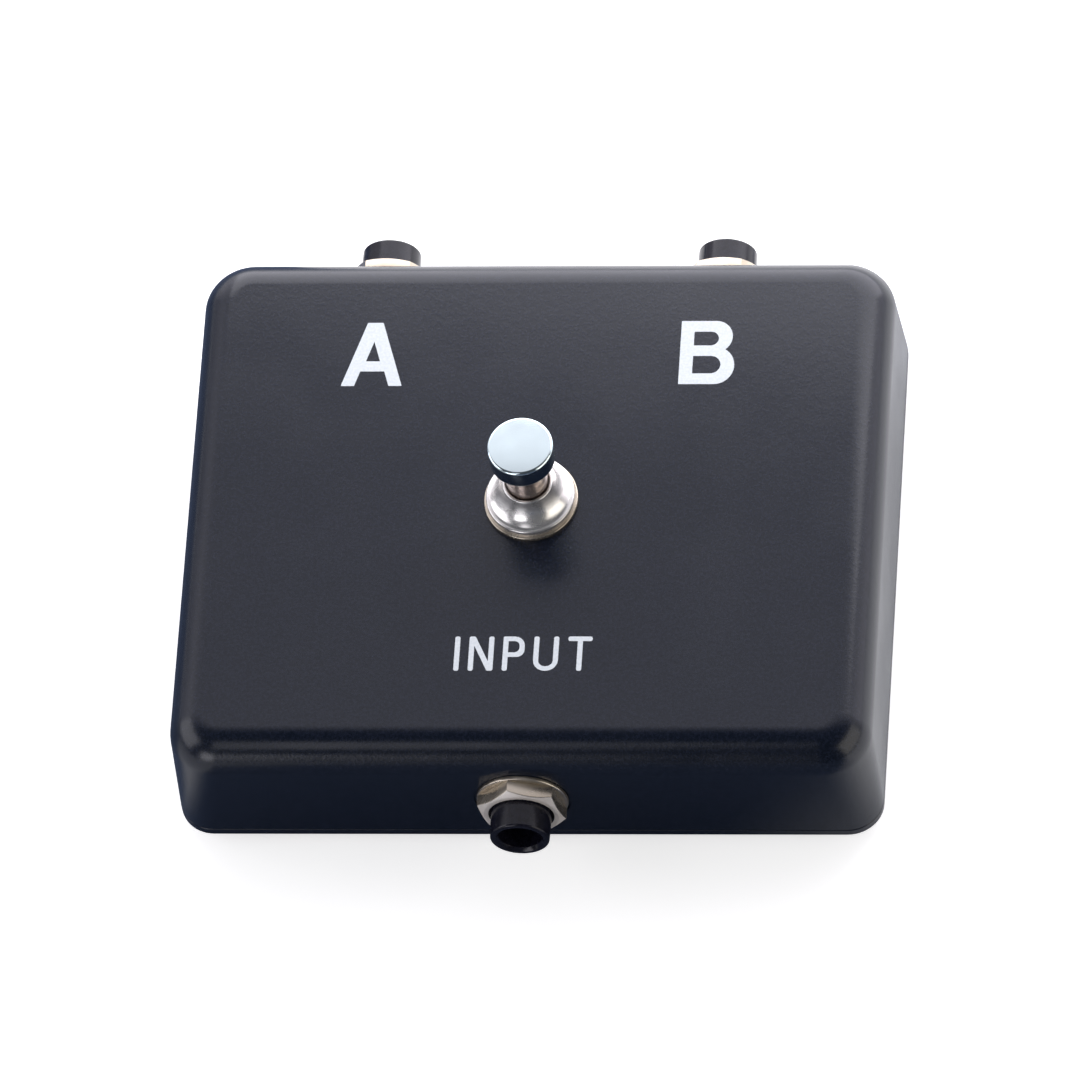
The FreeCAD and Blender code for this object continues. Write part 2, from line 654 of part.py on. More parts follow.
def make_tip_spring(node):
    """The strip that touches the plug's tip: lug behind, flat along the floor, then up to a bent nose."""
    body = new_body(node)
    profile = new_sketch(body, "profile", "YZ_Plane")
    floor = CHAMBER_FLOOR
    top = floor + size("leaf_thickness")
    lug_end = JACK_REAR - size("leaf_reach")
    heel = CHAMBER_REAR + size("tip_heel")
    crest = CHAMBER_REAR + size("tip_crest")
    toe = CHAMBER_REAR + size("tip_toe")
    crest_rise = -size("bore_radius") + size("tip_bite")
    toe_rise = floor + size("tip_toe_rise")
    draw_outline(profile, [
        (floor, lug_end), (floor, heel), (crest_rise - size("leaf_thickness"), crest), (toe_rise, toe),
        (toe_rise + size("leaf_thickness"), toe), (crest_rise, crest), (top, heel), (top, lug_end)])
    add_pad(body, "strip", profile, size("leaf_width"), middle=True)
    hole = new_sketch(body, "hole", "XZ_Plane", lift=-top)
    draw_circle(hole, 0.0, lug_end + size("leaf_reach") / 2, size("lug_hole_radius"))
    add_pocket(body, "lug_hole", hole, size("leaf_thickness") * THROUGH, up=True)
    return body


def make_sleeve_spring(node):
    """The strip that touches the plug's sleeve: lug behind, along the wall, then bowed in near the bore."""
    body = new_body(node)
    profile = new_sketch(body, "profile", "XZ_Plane")
    wall = -CHAMBER_HALF
    inner = wall + size("leaf_thickness")
    lug_end = JACK_REAR - size("leaf_reach")
    toe = CHAMBER_FRONT - size("sleeve_toe")
    crest = toe - size("sleeve_crest")
    heel = crest - size("sleeve_heel")
    crest_in = -size("bore_radius") + size("sleeve_bite")
    toe_out = wall + size("sleeve_toe_in")
    draw_outline(profile, [
        (wall, lug_end), (wall, heel), (crest_in - size("leaf_thickness"), crest), (toe_out, toe),
        (toe_out + size("leaf_thickness"), toe), (crest_in, crest), (inner, heel), (inner, lug_end)])
    add_pad(body, "strip", profile, size("leaf_width"), middle=True)
    hole = new_sketch(body, "hole", "YZ_Plane", lift=wall)
    draw_circle(hole, 0.0, lug_end + size("leaf_reach") / 2, size("lug_hole_radius"))
    add_pocket(body, "lug_hole", hole, size("leaf_thickness") * THROUGH, up=True)
    return body


def make_jack(name, x, facing):
    """One jack: its five pieces set on the same axis through the front or back wall."""
    side = -1 if facing == "front" else 1
    inner_face = HALF_DEPTH - size("case_wall")
    axis_height = CASE_BOTTOM + size("jack_height")
    hole = size("nose_radius") + size("fit_gap")
    washer = make_ring(f"{name}_washer", hole, size("jack_washer_radius"), size("jack_washer_thickness"))
    nut = make_hex_nut(f"{name}_nut", size("nut_flats"), size("nose_radius"), size("nut_thickness"))
    pieces = [
        (make_jack_housing(f"{name}_housing"), 0.0),
        (washer, SPOT_FACE),
        (nut, NUT_FACE),
        (make_tip_spring(f"{name}_tip_spring"), 0.0),
        (make_sleeve_spring(f"{name}_sleeve_spring"), 0.0),
    ]
    for body, outwards in pieces:
        place(body, x, (inner_face + outwards) * side, axis_height, FACING[facing])


# The foot switch: every piece is drawn about its own Z axis, with 0 at the case's top

def make_dress_washer():
    inner = size("bushing_radius") + size("hole_gap")
    body = make_ring("dress_washer", inner, size("dress_washer_radius"), size("dress_washer_thickness"))
    place_on_switch(body)


def make_dress_collar():
    """A chromed nut: round flange, hollow fillet, and a cone up to the rim that the button's stem enters."""
    body = new_body("dress_collar")
    seat = size("dress_washer_thickness")
    flange_top = seat + size("flange_thickness")
    thread = size("bushing_radius") + size("fit_gap")
    mouth = size("stem_radius") + size("hole_gap")
    step = size("bushing_rise") + size("thread_relief")
    profile = new_sketch(body, "profile", "XZ_Plane")
    draw_outline(profile, [
        (thread, seat), (size("flange_radius"), seat), (size("flange_radius"), flange_top),
        (size("cone_base_radius"), flange_top), (size("cone_rim_radius"), COLLAR_RIM), (mouth, COLLAR_RIM),
        (mouth, step), (thread, step)])
    turned = add_turned(body, "turned", profile)
    cone_foot = ring_edge(size("cone_base_radius"), flange_top)
    hollow = add_round(body, "hollow", turned, cone_foot, size("flange_fillet"))
    cone_rim = ring_edge(size("cone_rim_radius"), COLLAR_RIM)
    rim = add_round(body, "rim", hollow, cone_rim, size("rim_bevel"), chamfer=True)
    flange_edge = ring_edge(size("flange_radius"), flange_top)
    add_round(body, "flange_edge", rim, flange_edge, size("flange_round"))
    place_on_switch(body)


def make_switch_bushing():
    """The tube that the rod runs in, with a flange on the frame and a spigot spread under it."""
    body = new_body("switch_bushing")
    bore = size("rod_radius") + size("fit_gap")
    profile = new_sketch(body, "profile", "XZ_Plane")
    outer = size("bushing_radius")
    draw_outline(profile, [
        (bore, size("bushing_rise")), (bore, HOUSING_TOP), (size("spigot_radius"), HOUSING_TOP),
        (size("spigot_radius"), FRAME_TOP), (size("bushing_flange_radius"), FRAME_TOP),
        (size("bushing_flange_radius"), BUSHING_SHOULDER), (outer, BUSHING_SHOULDER),
        (outer, size("bushing_rise"))])
    turned = add_turned(body, "turned", profile)
    thread_top = ring_edge(outer, size("bushing_rise"))
    add_round(body, "thread_start", turned, thread_top, size("bushing_chamfer"), chamfer=True)
    place_on_switch(body)


WASHER_TEETH = 12


def make_switch_lock_washer():
    """A ring with a circle of teeth cut into its outer edge."""
    outer = size("lock_washer_radius")
    inner = size("bushing_radius") + size("hole_gap")
    body = make_ring("switch_lock_washer", inner, outer, size("lock_washer_thickness"))
    notch = new_sketch(body, "notch")
    half = size("tooth_depth") / 2
    draw_rectangle(notch, outer - size("tooth_depth"), -half, outer + half, half)
    cut = add_pocket(body, "notch_cut", notch, size("lock_washer_thickness") * THROUGH, up=True)
    doc.recompute()
    teeth = body.newObject("PartDesign::PolarPattern", "switch_lock_washer_teeth")
    teeth.Originals = [cut]
    teeth.Axis = (notch, ["N_Axis"])
    teeth.Angle = 360.0
    teeth.Occurrences = WASHER_TEETH
    body.Tip = teeth
    place(body, 0.0, size("switch_shift"), CASE_TOP + INNER_NUT_TOP)


def make_switch_inner_nut():
    thickness = size("inner_nut_thickness")
    body = make_hex_nut("switch_inner_nut", size("inner_nut_flats"), size("bushing_radius"), thickness)
    place(body, 0.0, size("switch_shift"), CASE_TOP + INNER_NUT_TOP - thickness)


def make_switch_frame():
    """Sheet bent over the housing: top plate, two legs and the tabs turned in under the terminal board."""
    body = new_body("switch_frame")
    inner = size("housing_width") / 2
    outer = inner + size("frame_thickness")
    tab = inner - size("frame_tab")
    foot = BOARD_BOTTOM - size("frame_thickness")
    profile = new_sketch(body, "profile", "XZ_Plane")
    draw_outline(profile, [
        (-outer, FRAME_TOP), (-outer, foot), (-tab, foot), (-tab, BOARD_BOTTOM), (-inner, BOARD_BOTTOM),
        (-inner, HOUSING_TOP), (inner, HOUSING_TOP), (inner, BOARD_BOTTOM), (tab, BOARD_BOTTOM),
        (tab, foot), (outer, foot), (outer, FRAME_TOP)])
    sheet_metal = add_pad(body, "bent_sheet", profile, size("frame_width"), middle=True)

    def outer_bend(edge):
        box = edge.BoundBox
        at_top = abs(box.ZMin - number(FRAME_TOP)) < 1e-3 and box.ZLength < 1e-3
        at_side = abs(abs(box.XMin) - number(outer)) < 1e-3 and box.XLength < 1e-3
        return at_top and at_side

    add_round(body, "bends", sheet_metal, outer_bend, size("frame_bend"))
    hole = new_sketch(body, "hole", lift=FRAME_TOP)
    draw_circle(hole, 0.0, 0.0, size("spigot_radius") + size("fit_gap"))
    add_pocket(body, "spigot_hole", hole, size("frame_thickness") * THROUGH)
    place_on_switch(body)


def make_switch_housing():
    """A moulded block: round spring chamber above, rocker chamber below, and a ledge between them."""
    body = new_body("switch_housing")
    outline = new_sketch(body, "outline", lift=HOUSING_TOP)
    half_wide = size("housing_width") / 2
    half_deep = size("housing_depth") / 2
    draw_rectangle(outline, -half_wide, -half_deep, half_wide, half_deep)
    add_pad(body, "block", outline, HOUSING_TOP - BOARD_TOP, down=True)
    spring = new_sketch(body, "spring_room", lift=HOUSING_TOP)
    draw_circle(spring, 0.0, 0.0, size("chamber_radius"))
    add_pocket(body, "spring_chamber", spring, HOUSING_TOP - LEDGE_TOP)
    finger = new_sketch(body, "finger_hole", lift=LEDGE_TOP)
    draw_circle(finger, 0.0, 0.0, size("finger_radius") + size("finger_room"))
    add_pocket(body, "finger_way", finger, size("ledge_thickness") * THROUGH)
    rocker = new_sketch(body, "rocker_room", lift=BOARD_TOP)
    room_x = size("rocker_length") / 2 + size("rocker_room_margin")
    room_y = size("carrier_width") / 2 + size("rocker_room_margin")
    draw_rectangle(rocker, -room_x, -room_y, room_x, room_y)
    add_pocket(body, "rocker_chamber", rocker, size("rocker_room"), up=True)
    pivot = new_sketch(body, "pivot", "XZ_Plane")
    draw_circle(pivot, 0.0, PIVOT, size("trunnion_radius") + size("trunnion_gap"))
    add_pocket(body, "pivot_holes", pivot, size("housing_depth") * THROUGH, middle=True)
    place_on_switch(body)


def make_terminal_board():
    """The board that closes the housing and holds the three terminals in slots."""
    body = new_body("terminal_board")
    outline = new_sketch(body, "outline", lift=BOARD_BOTTOM)
    half_wide = size("housing_width") / 2
    half_deep = size("housing_depth") / 2
    draw_rectangle(outline, -half_wide, -half_deep, half_wide, half_deep)
    add_pad(body, "board", outline, size("board_thickness"))
    slots = new_sketch(body, "slots", lift=BOARD_BOTTOM)
    gap = size("fit_gap")
    half_x = size("terminal_thickness") / 2 + gap
    half_y = size("terminal_width") / 2 + gap
    for step in (-1, 0, 1):
        middle = size("terminal_pitch") * step
        draw_rectangle(slots, middle - half_x, -half_y, middle + half_x, half_y)
    add_pocket(body, "terminal_slots", slots, size("board_thickness") * THROUGH, up=True)
    place_on_switch(body)


def make_terminal(node, step):
    """A solder lug: pierced tail below the board, and the fixed contact above it."""
    body = new_body(node)
    middle = size("terminal_pitch") * step
    half_x = size("terminal_thickness") / 2
    half_y = size("terminal_width") / 2
    tail = new_sketch(body, "tail", lift=TERMINAL_END)
    draw_rectangle(tail, middle - half_x, -half_y, middle + half_x, half_y)
    add_pad(body, "strip", tail, BOARD_TOP - TERMINAL_END)
    head = new_sketch(body, "head", lift=BOARD_TOP)
    if step == 0:
        farthest = half_x
        draw_rectangle(head, -half_x, -half_y, half_x, half_y)
    else:
        farthest = size("terminal_pitch") + size("stud_radius")
        draw_circle(head, middle, 0.0, size("stud_radius"))
    drop = (STRIP_BOTTOM + farthest * TILT_SINE) / TILT_COSINE
    add_pad(body, "contact", head, PIVOT - drop - size("contact_gap") - BOARD_TOP)
    hole = new_sketch(body, "hole", "YZ_Plane", lift=middle - half_x)
    draw_circle(hole, 0.0, LUG_HOLE, size("lug_hole_radius"))
    add_pocket(body, "lug_hole", hole, size("terminal_thickness") * THROUGH, up=True)
    place_on_switch(body)


def place_rocker(body):
    """Sets a piece of the rocker on its pivot, tipped towards output A, the negative way about Y."""
    turn = FreeCAD.Rotation(FreeCAD.Vector(0, -1, 0), number(size("rocker_tilt")))
    place(body, 0.0, size("switch_shift"), CASE_TOP + PIVOT, turn)
    bind(body, "Placement.Rotation.Angle", size("rocker_tilt"))


def make_rocker_carrier():
    """A moulded rocker on two trunnions, with a vee on top that the plunger's finger works in."""
    body = new_body("rocker_carrier")
    half_x = size("carrier_length") / 2
    half_z = size("carrier_half")
    profile = new_sketch(body, "profile", "XZ_Plane")
    draw_rectangle(profile, -half_x, -half_z, half_x, half_z)
    add_pad(body, "block", profile, size("carrier_width"), middle=True)
    trunnion = new_sketch(body, "trunnion", "XZ_Plane")
    draw_circle(trunnion, 0.0, 0.0, size("trunnion_radius"))
    add_pad(body, "trunnions", trunnion, size("housing_depth") - size("rocker_gap") * 2, middle=True)
    vee = new_sketch(body, "vee", "XZ_Plane")
    half_vee = size("vee_half")
    draw_outline(vee, [(-half_vee, half_z), (0.0, half_z - size("vee_depth")), (half_vee, half_z)])
    add_pocket(body, "vee_cut", vee, size("carrier_width"), middle=True)
    place_rocker(body)


def make_rocker_contact():
    """The strip under the carrier that joins the middle terminal to one of the outer two."""
    body = new_body("rocker_contact")
    half_x = size("rocker_length") / 2
    profile = new_sketch(body, "profile", "XZ_Plane")
    draw_rectangle(profile, -half_x, -STRIP_BOTTOM, half_x, -size("carrier_half"))
    add_pad(body, "strip", profile, size("rocker_width"), middle=True)
    place_rocker(body)


def make_push_button():
    """The chromed cap that the foot presses, with the stem that slides into the collar."""
    body = new_body("push_button")
    top = size("button_rise")
    cap_low = top - size("button_height")
    cap = size("button_radius")
    grip = size("rod_radius") + size("fit_gap")
    stem = size("stem_radius")
    profile = new_sketch(body, "profile", "XZ_Plane")
    draw_outline(profile, [
        (0.0, top), (0.0, ROD_TOP), (grip, ROD_TOP), (grip, STEM_BOTTOM), (stem, STEM_BOTTOM),
        (stem, cap_low), (cap, cap_low), (cap, top)])
    turned = add_turned(body, "turned", profile)
    crown = add_round(body, "crown", turned, ring_edge(cap, top), size("button_round"))
    add_round(body, "underside", crown, ring_edge(cap, cap_low), size("button_under_bevel"), chamfer=True)
    place_on_switch(body)


FINGER_TAPER = 1.5  # length of the finger's taper for each millimetre of its radius


def make_plunger_rod():
    """The rod under the button: stop collar below the bushing, then the finger that reaches the rocker."""
    body = new_body("plunger_rod")
    finger = size("finger_radius")
    profile = new_sketch(body, "profile", "XZ_Plane")
    taper_top = FINGER_TIP + (finger - size("finger_tip_radius")) * FINGER_TAPER
    draw_outline(profile, [
        (0.0, ROD_TOP), (0.0, FINGER_TIP), (size("finger_tip_radius"), FINGER_TIP), (finger, taper_top),
        (finger, ROD_COLLAR_BOTTOM), (size("rod_collar_radius"), ROD_COLLAR_BOTTOM),
        (size("rod_collar_radius"), ROD_COLLAR_TOP), (size("rod_radius"), ROD_COLLAR_TOP),
        (size("rod_radius"), ROD_TOP)])
    add_turned(body, "turned", profile)
    place_on_switch(body)


# The return spring and the hookup wires are swept along paths of arcs and straight runs

def arc_through(start, tangent, end):
    """The arc that leaves start along the tangent and reaches end."""
    chord = end - start
    across = chord - tangent * chord.dot(tangent)
    radius = chord.Length ** 2 / (2 * across.Length)
    centre = start + across.normalize() * radius
    outwards = ((start - centre) + (end - centre)).normalize()
    return Part.Arc(start, centre + outwards * radius, end).toShape()


def biarc(start, start_tangent, end, end_tangent):
    """Two arcs that join smoothly and leave both ends along their tangents."""
    chord = end - start
    both = start_tangent + end_tangent
    square = 2 * (1 - start_tangent.dot(end_tangent))
    along = chord.dot(both)
    reach = (-along + math.sqrt(along ** 2 + square * chord.dot(chord))) / square
    middle = (start + end + (start_tangent - end_tangent) * reach) * 0.5
    first = arc_through(start, start_tangent, middle)
    back = arc_through(end, end_tangent * -1, middle)
    last = Part.Arc(middle, back.valueAt((back.FirstParameter + back.LastParameter) / 2), end).toShape()
    return [first, last]


def sweep_round(edges, start, tangent, radius):
    """A round tube along the joined edges."""
    path = Part.Wire(edges)
    section = Part.Wire([Part.makeCircle(radius, start, tangent)])
    return path.makePipeShell([section], True, False)


def add_feature(node, shape):
    feature = doc.addObject("Part::Feature", node)
    feature.Label = node
    feature.Shape = shape
    nodes.append(feature)


def make_return_spring():
    """A coil between the rod's stop collar and the ledge of the housing."""
    wire = number(size("spring_wire")) / 2
    inner_room = number(size("chamber_radius"))
    radius = (inner_room + number(size("finger_radius"))) / 2
    low = number(CASE_TOP + LEDGE_TOP) + wire
    high = number(CASE_TOP + ROD_COLLAR_BOTTOM) - wire
    middle = FreeCAD.Vector(0, number(size("switch_shift")), 0)
    turns = number(size("spring_turns"))
    steps = max(2, round(turns * 2))
    rise = (high - low) / (turns * 2 * math.pi)

    def place_on_coil(angle):
        across = FreeCAD.Vector(radius * math.cos(angle), radius * math.sin(angle), 0)
        return middle + across + FreeCAD.Vector(0, 0, low + rise * angle)

    def tangent_on_coil(angle):
        return FreeCAD.Vector(-radius * math.sin(angle), radius * math.cos(angle), rise).normalize()

    edges = []
    for step in range(steps):
        first = turns * 2 * math.pi * step / steps
        last = turns * 2 * math.pi * (step + 1) / steps
        ends = [(place_on_coil(angle), tangent_on_coil(angle)) for angle in (first, last)]
        edges += biarc(*ends[0], *ends[1])
    pitch = rise * 2 * math.pi
    print(f"return_spring: {turns} turns, pitch {pitch:.2f}, gap between turns {pitch - 2 * wire:.2f}")
    add_feature("return_spring", sweep_round(edges, place_on_coil(0), tangent_on_coil(0), wire))


def make_wire(node, points):
    """A hookup wire: straight runs through the points, joined by arcs as large as the runs allow."""
    radius = number(size("wire_radius"))
    spots = [FreeCAD.Vector(*(number(part) for part in point)) for point in points]
    edges = []
    here = spots[0]
    bends = []
    for before, corner, after in zip(spots, spots[1:], spots[2:]):
        arriving = (corner - before).normalize()
        leaving = (after - corner).normalize()
        turn = arriving.getAngle(leaving)
        back = 0.45 * min((corner - before).Length, (after - corner).Length)
        bends.append(back / math.tan(turn / 2))
        start = corner - arriving * back
        end = corner + leaving * back
        edges.append(Part.LineSegment(here, start).toShape())
        edges.append(arc_through(start, arriving, end))
        here = end
    edges.append(Part.LineSegment(here, spots[-1]).toShape())
    tube = sweep_round(edges, spots[0], spots[1] - spots[0], radius)
    length = sum(edge.Length for edge in edges)
    expected = math.pi * radius ** 2 * length
    ratio = tube.Volume / expected
    print(f"{node}: length {length:.1f}, tightest bend {min(bends):.1f}, volume ratio {ratio:.4f}")
    add_feature(node, tube)


def make_wires():
    """Five wires: input, the two outputs, and the two links between the sleeve lugs."""
    lug_y = HALF_DEPTH - size("case_wall") - size("jack_length") - size("leaf_reach")
    axis_z = CASE_BOTTOM + size("jack_height")
    tip_z = axis_z + CHAMBER_FLOOR + size("leaf_thickness") / 2
    sleeve_x = CHAMBER_HALF - size("leaf_thickness") / 2
    lug_z = CASE_TOP + LUG_HOLE
    switch_y = size("switch_shift")
    lug_front = switch_y - size("terminal_width") / 2
    lug_back = switch_y + size("terminal_width") / 2
    half_spacing = size("jack_spacing") / 2
    make_wire("wire_input", [
        (0.0, -lug_y, tip_z),
        (0.0, -lug_y + 5.0, tip_z),
        (0.0, lug_front - 4.5, lug_z),
        (0.0, lug_front, lug_z),
    ])
    for node, side in (("wire_a", -1), ("wire_b", 1)):
        terminal_x = size("terminal_pitch") * side
        jack_x = half_spacing * side
        make_wire(node, [
            (terminal_x, lug_back, lug_z),
            (terminal_x, lug_back + 4.5, lug_z),
            (terminal_x + 4.0 * side, lug_back + 8.2, lug_z - 0.4),
            (jack_x - 4.0 * side, lug_y - 8.2, tip_z - 0.3),
            (jack_x, lug_y - 4.5, tip_z),
            (jack_x, lug_y, tip_z),
        ])
    sleeve_a = -half_spacing + sleeve_x
    sleeve_b = half_spacing + sleeve_x
    lug_top = axis_z + size("leaf_width") / 2
    lug_middle = lug_y + size("leaf_reach") / 2
    over_z = CASE_TOP - size("case_roof") - 2.5
    beside_switch = -size("housing_width") / 2
    behind_switch = switch_y + size("housing_depth") / 2 + 1.8
    make_wire("wire_ground_a", [
        (-sleeve_x, -lug_y, axis_z),
        (-sleeve_x, -lug_y + 5.0, axis_z),
        (beside_switch - 5.0, switch_y - 4.0, over_z - 3.0),
        (beside_switch - 8.0, lug_y - 12.0, over_z),
        (sleeve_a, lug_middle - 6.0, over_z + 1.0),
        (sleeve_a, lug_middle, over_z - 1.0),
        (sleeve_a, lug_middle, lug_top),
    ])
    make_wire("wire_ground_b", [
        (sleeve_a, lug_y, axis_z),
        (sleeve_a, lug_y - 5.0, axis_z),
        (sleeve_a + 8.0, behind_switch + 1.0, axis_z + 1.5),
        (sleeve_x, behind_switch, axis_z + 2.5),
        (sleeve_b - 8.0, behind_switch + 1.0, axis_z + 1.5),
        (sleeve_b, lug_y - 5.0, axis_z),
        (sleeve_b, lug_y, axis_z),
    ])


make_top_case()
make_bottom_plate()
make_cover_screws()
for end_name, end in (("front", -1), ("rear", 1)):
    for side_name, side in (("left", -1), ("right", 1)):
        make_foot(f"foot_{end_name}_{side_name}", side, end)
make_jack("input", 0.0, "front")
make_jack("output_a", -size("jack_spacing") / 2, "back")
make_jack("output_b", size("jack_spacing") / 2, "back")
make_dress_washer()
make_dress_collar()
make_switch_bushing()
make_switch_lock_washer()
make_switch_inner_nut()
make_switch_frame()
make_switch_housing()
make_terminal_board()
for terminal, terminal_step in (("terminal_a", -1), ("terminal_common", 0), ("terminal_b", 1)):
    make_terminal(terminal, terminal_step)
make_rocker_carrier()
make_rocker_contact()
make_push_button()
make_plunger_rod()
make_return_spring()
make_wires()

doc.recompute()
failed = [thing.Name for thing in doc.Objects if "Invalid" in thing.State or "Error" in thing.State]
if failed:
    raise RuntimeError(f"these objects failed: {failed}")
for node in nodes:
    if node.Shape.isNull() or not node.Shape.isValid() or not node.Shape.Solids:
        raise RuntimeError(f"{node.Label} has no sound solid")
os.makedirs("parts", exist_ok=True)
for node in nodes:
    node.Shape.exportStep(f"parts/{node.Label}.step")
print(f"{len(nodes)} sub-parts written")
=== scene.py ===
# %% [markdown]
# A foot switch box that sends one instrument cable to output A or to output B. The real one is a small
# cast box with a chromed push button on top, one jack in its front wall and two in its back wall.
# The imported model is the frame: it says where each piece lies and how large it is, so the meshes that
# stand for its nodes take their places and outer sizes from it. This cell loads it and notes its box.

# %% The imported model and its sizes
import json
import math

import bmesh
import bpy
from mathutils import Matrix, Vector


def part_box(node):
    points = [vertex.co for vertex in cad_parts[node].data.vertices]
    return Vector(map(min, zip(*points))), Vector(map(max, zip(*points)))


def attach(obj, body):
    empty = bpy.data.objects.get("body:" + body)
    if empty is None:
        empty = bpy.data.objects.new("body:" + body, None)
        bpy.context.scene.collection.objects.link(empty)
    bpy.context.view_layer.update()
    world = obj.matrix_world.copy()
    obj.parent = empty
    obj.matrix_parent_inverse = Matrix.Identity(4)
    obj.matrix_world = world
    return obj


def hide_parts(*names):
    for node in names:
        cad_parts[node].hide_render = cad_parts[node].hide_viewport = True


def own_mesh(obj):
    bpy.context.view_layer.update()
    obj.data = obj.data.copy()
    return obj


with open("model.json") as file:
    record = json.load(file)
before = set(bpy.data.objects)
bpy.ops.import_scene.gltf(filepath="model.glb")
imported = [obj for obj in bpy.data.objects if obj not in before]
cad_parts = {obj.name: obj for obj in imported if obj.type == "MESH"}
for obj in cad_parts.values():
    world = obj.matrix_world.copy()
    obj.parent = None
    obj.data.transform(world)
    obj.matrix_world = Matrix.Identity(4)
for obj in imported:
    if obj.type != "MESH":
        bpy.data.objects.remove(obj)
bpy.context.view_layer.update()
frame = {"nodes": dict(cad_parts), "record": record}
MM = 0.001
low, high = {}, {}
for node in frame["nodes"]:
    low[node], high[node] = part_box(node)
print(f"{len(low)} nodes, {(high['top_case'].x - low['top_case'].x) / MM:.1f} mm wide")

# %% [markdown]
# The camera comes first, because every later choice is judged through it. The photograph looks down from
# the front and a little from the right, from far away, with the box turned slightly clockwise. An
# azimuth, an elevation, a roll and a distance describe such a view better than a guessed position would.
# Depth of field and shift stay off, so that the same camera works from any other side.

# %% The camera of the photograph
VIEW_AZIMUTH = math.radians(13.924)
VIEW_ELEVATION = math.radians(59.462)
VIEW_ROLL = math.radians(12.110)
VIEW_DISTANCE = 2.0552
FARTHEST = 20.0
FRAME_PIXELS = 1080
PIXELS_PER_MM = 6.514
POINT_BELOW_TOP = 15.75 * MM
POINT_PIXEL = (542.42, 553.60)
SENSOR = 36.0


def added(name, data):
    """A new object in the scene, at the origin."""
    thing = bpy.data.objects.new(name, data)
    bpy.context.scene.collection.objects.link(thing)
    return thing


towards = Vector((
    math.cos(VIEW_ELEVATION) * math.sin(VIEW_AZIMUTH),
    -math.cos(VIEW_ELEVATION) * math.cos(VIEW_AZIMUTH),
    math.sin(VIEW_ELEVATION)))
level_right = Vector((math.cos(VIEW_AZIMUTH), math.sin(VIEW_AZIMUTH), 0.0))
level_up = towards.cross(level_right)
right = level_right * math.cos(VIEW_ROLL) - level_up * math.sin(VIEW_ROLL)
up = level_up * math.cos(VIEW_ROLL) + level_right * math.sin(VIEW_ROLL)

aim = Vector((0.0, 0.0, high["top_case"].z - POINT_BELOW_TOP))
half_frame = FRAME_PIXELS / 2
aim -= right * (POINT_PIXEL[0] - half_frame) / PIXELS_PER_MM * MM
aim += up * (POINT_PIXEL[1] - half_frame) / PIXELS_PER_MM * MM
camera_data = bpy.data.cameras.new("photo_camera")
camera_data.sensor_width = SENSOR
camera_data.lens = PIXELS_PER_MM / MM * VIEW_DISTANCE / FRAME_PIXELS * SENSOR
camera_data.clip_end = FARTHEST
camera = added("photo_camera", camera_data)
turn = Matrix((right, up, towards)).transposed().to_4x4()
camera.matrix_world = Matrix.Translation(aim + towards * VIEW_DISTANCE) @ turn
bpy.context.scene.camera = camera
bpy.context.scene.view_settings.view_transform = "Standard"
print(f"lens {camera_data.lens:.0f} mm, {VIEW_DISTANCE:.2f} m away")

# %% [markdown]
# The sky, the floor, every finish and every pattern are trees of nodes. One function adds a node, with each
# of its inputs given as a plain value or as another node's output. Three more give the steps that come up
# again and again: plain arithmetic, a soft change from one value to another, and a mix of two colours.

# %% Small steps that every tree shares
def feed(tree, socket, value):
    """Gives a socket a plain value or another node's output."""
    if isinstance(value, bpy.types.NodeSocket):
        tree.links.new(value, socket)
    elif socket.type == "RGBA":
        socket.default_value = (*value, 1.0)
    else:
        socket.default_value = value


def add_node(tree, kind, inputs, **settings):
    """Adds a node, sets it up, feeds its inputs by their names, and returns its outputs."""
    node = tree.nodes.new(kind)
    for name, value in settings.items():
        setattr(node, name, value)
    for name, value in inputs.items():
        feed(tree, node.inputs[name], value)
    return node.outputs


def reckoned(tree, operation, first, second):
    """One step of plain arithmetic."""
    return add_node(tree, "ShaderNodeMath", {0: first, 1: second}, operation=operation)[0]


def eased(tree, source, start, end, least=0.0, most=1.0, change="SMOOTHSTEP"):
    """The least value before the start and the most after the end, with a soft change between."""
    inputs = {"Value": source, "From Min": start, "From Max": end, "To Min": least, "To Max": most}
    return add_node(tree, "ShaderNodeMapRange", inputs, interpolation_type=change)["Result"]


def colour_mix(tree, factor, first, second):
    inputs = {"Factor": factor, "A": first, "B": second}
    return add_node(tree, "ShaderNodeMix", inputs, data_type="RGBA")["Result"]


def axes_of(tree, vector):
    return add_node(tree, "ShaderNodeSeparateXYZ", {0: vector})


print("tree steps ready")

# %% [markdown]
# A finish is built from the same few steps: a grain made by a noise texture on the object's own coordinates,
# a colour that the grain moves between two shades, a roughness that it moves between two values, and a bump.
# A class holds them, and keeps each number that is the same all over a surface on the shader's own socket.

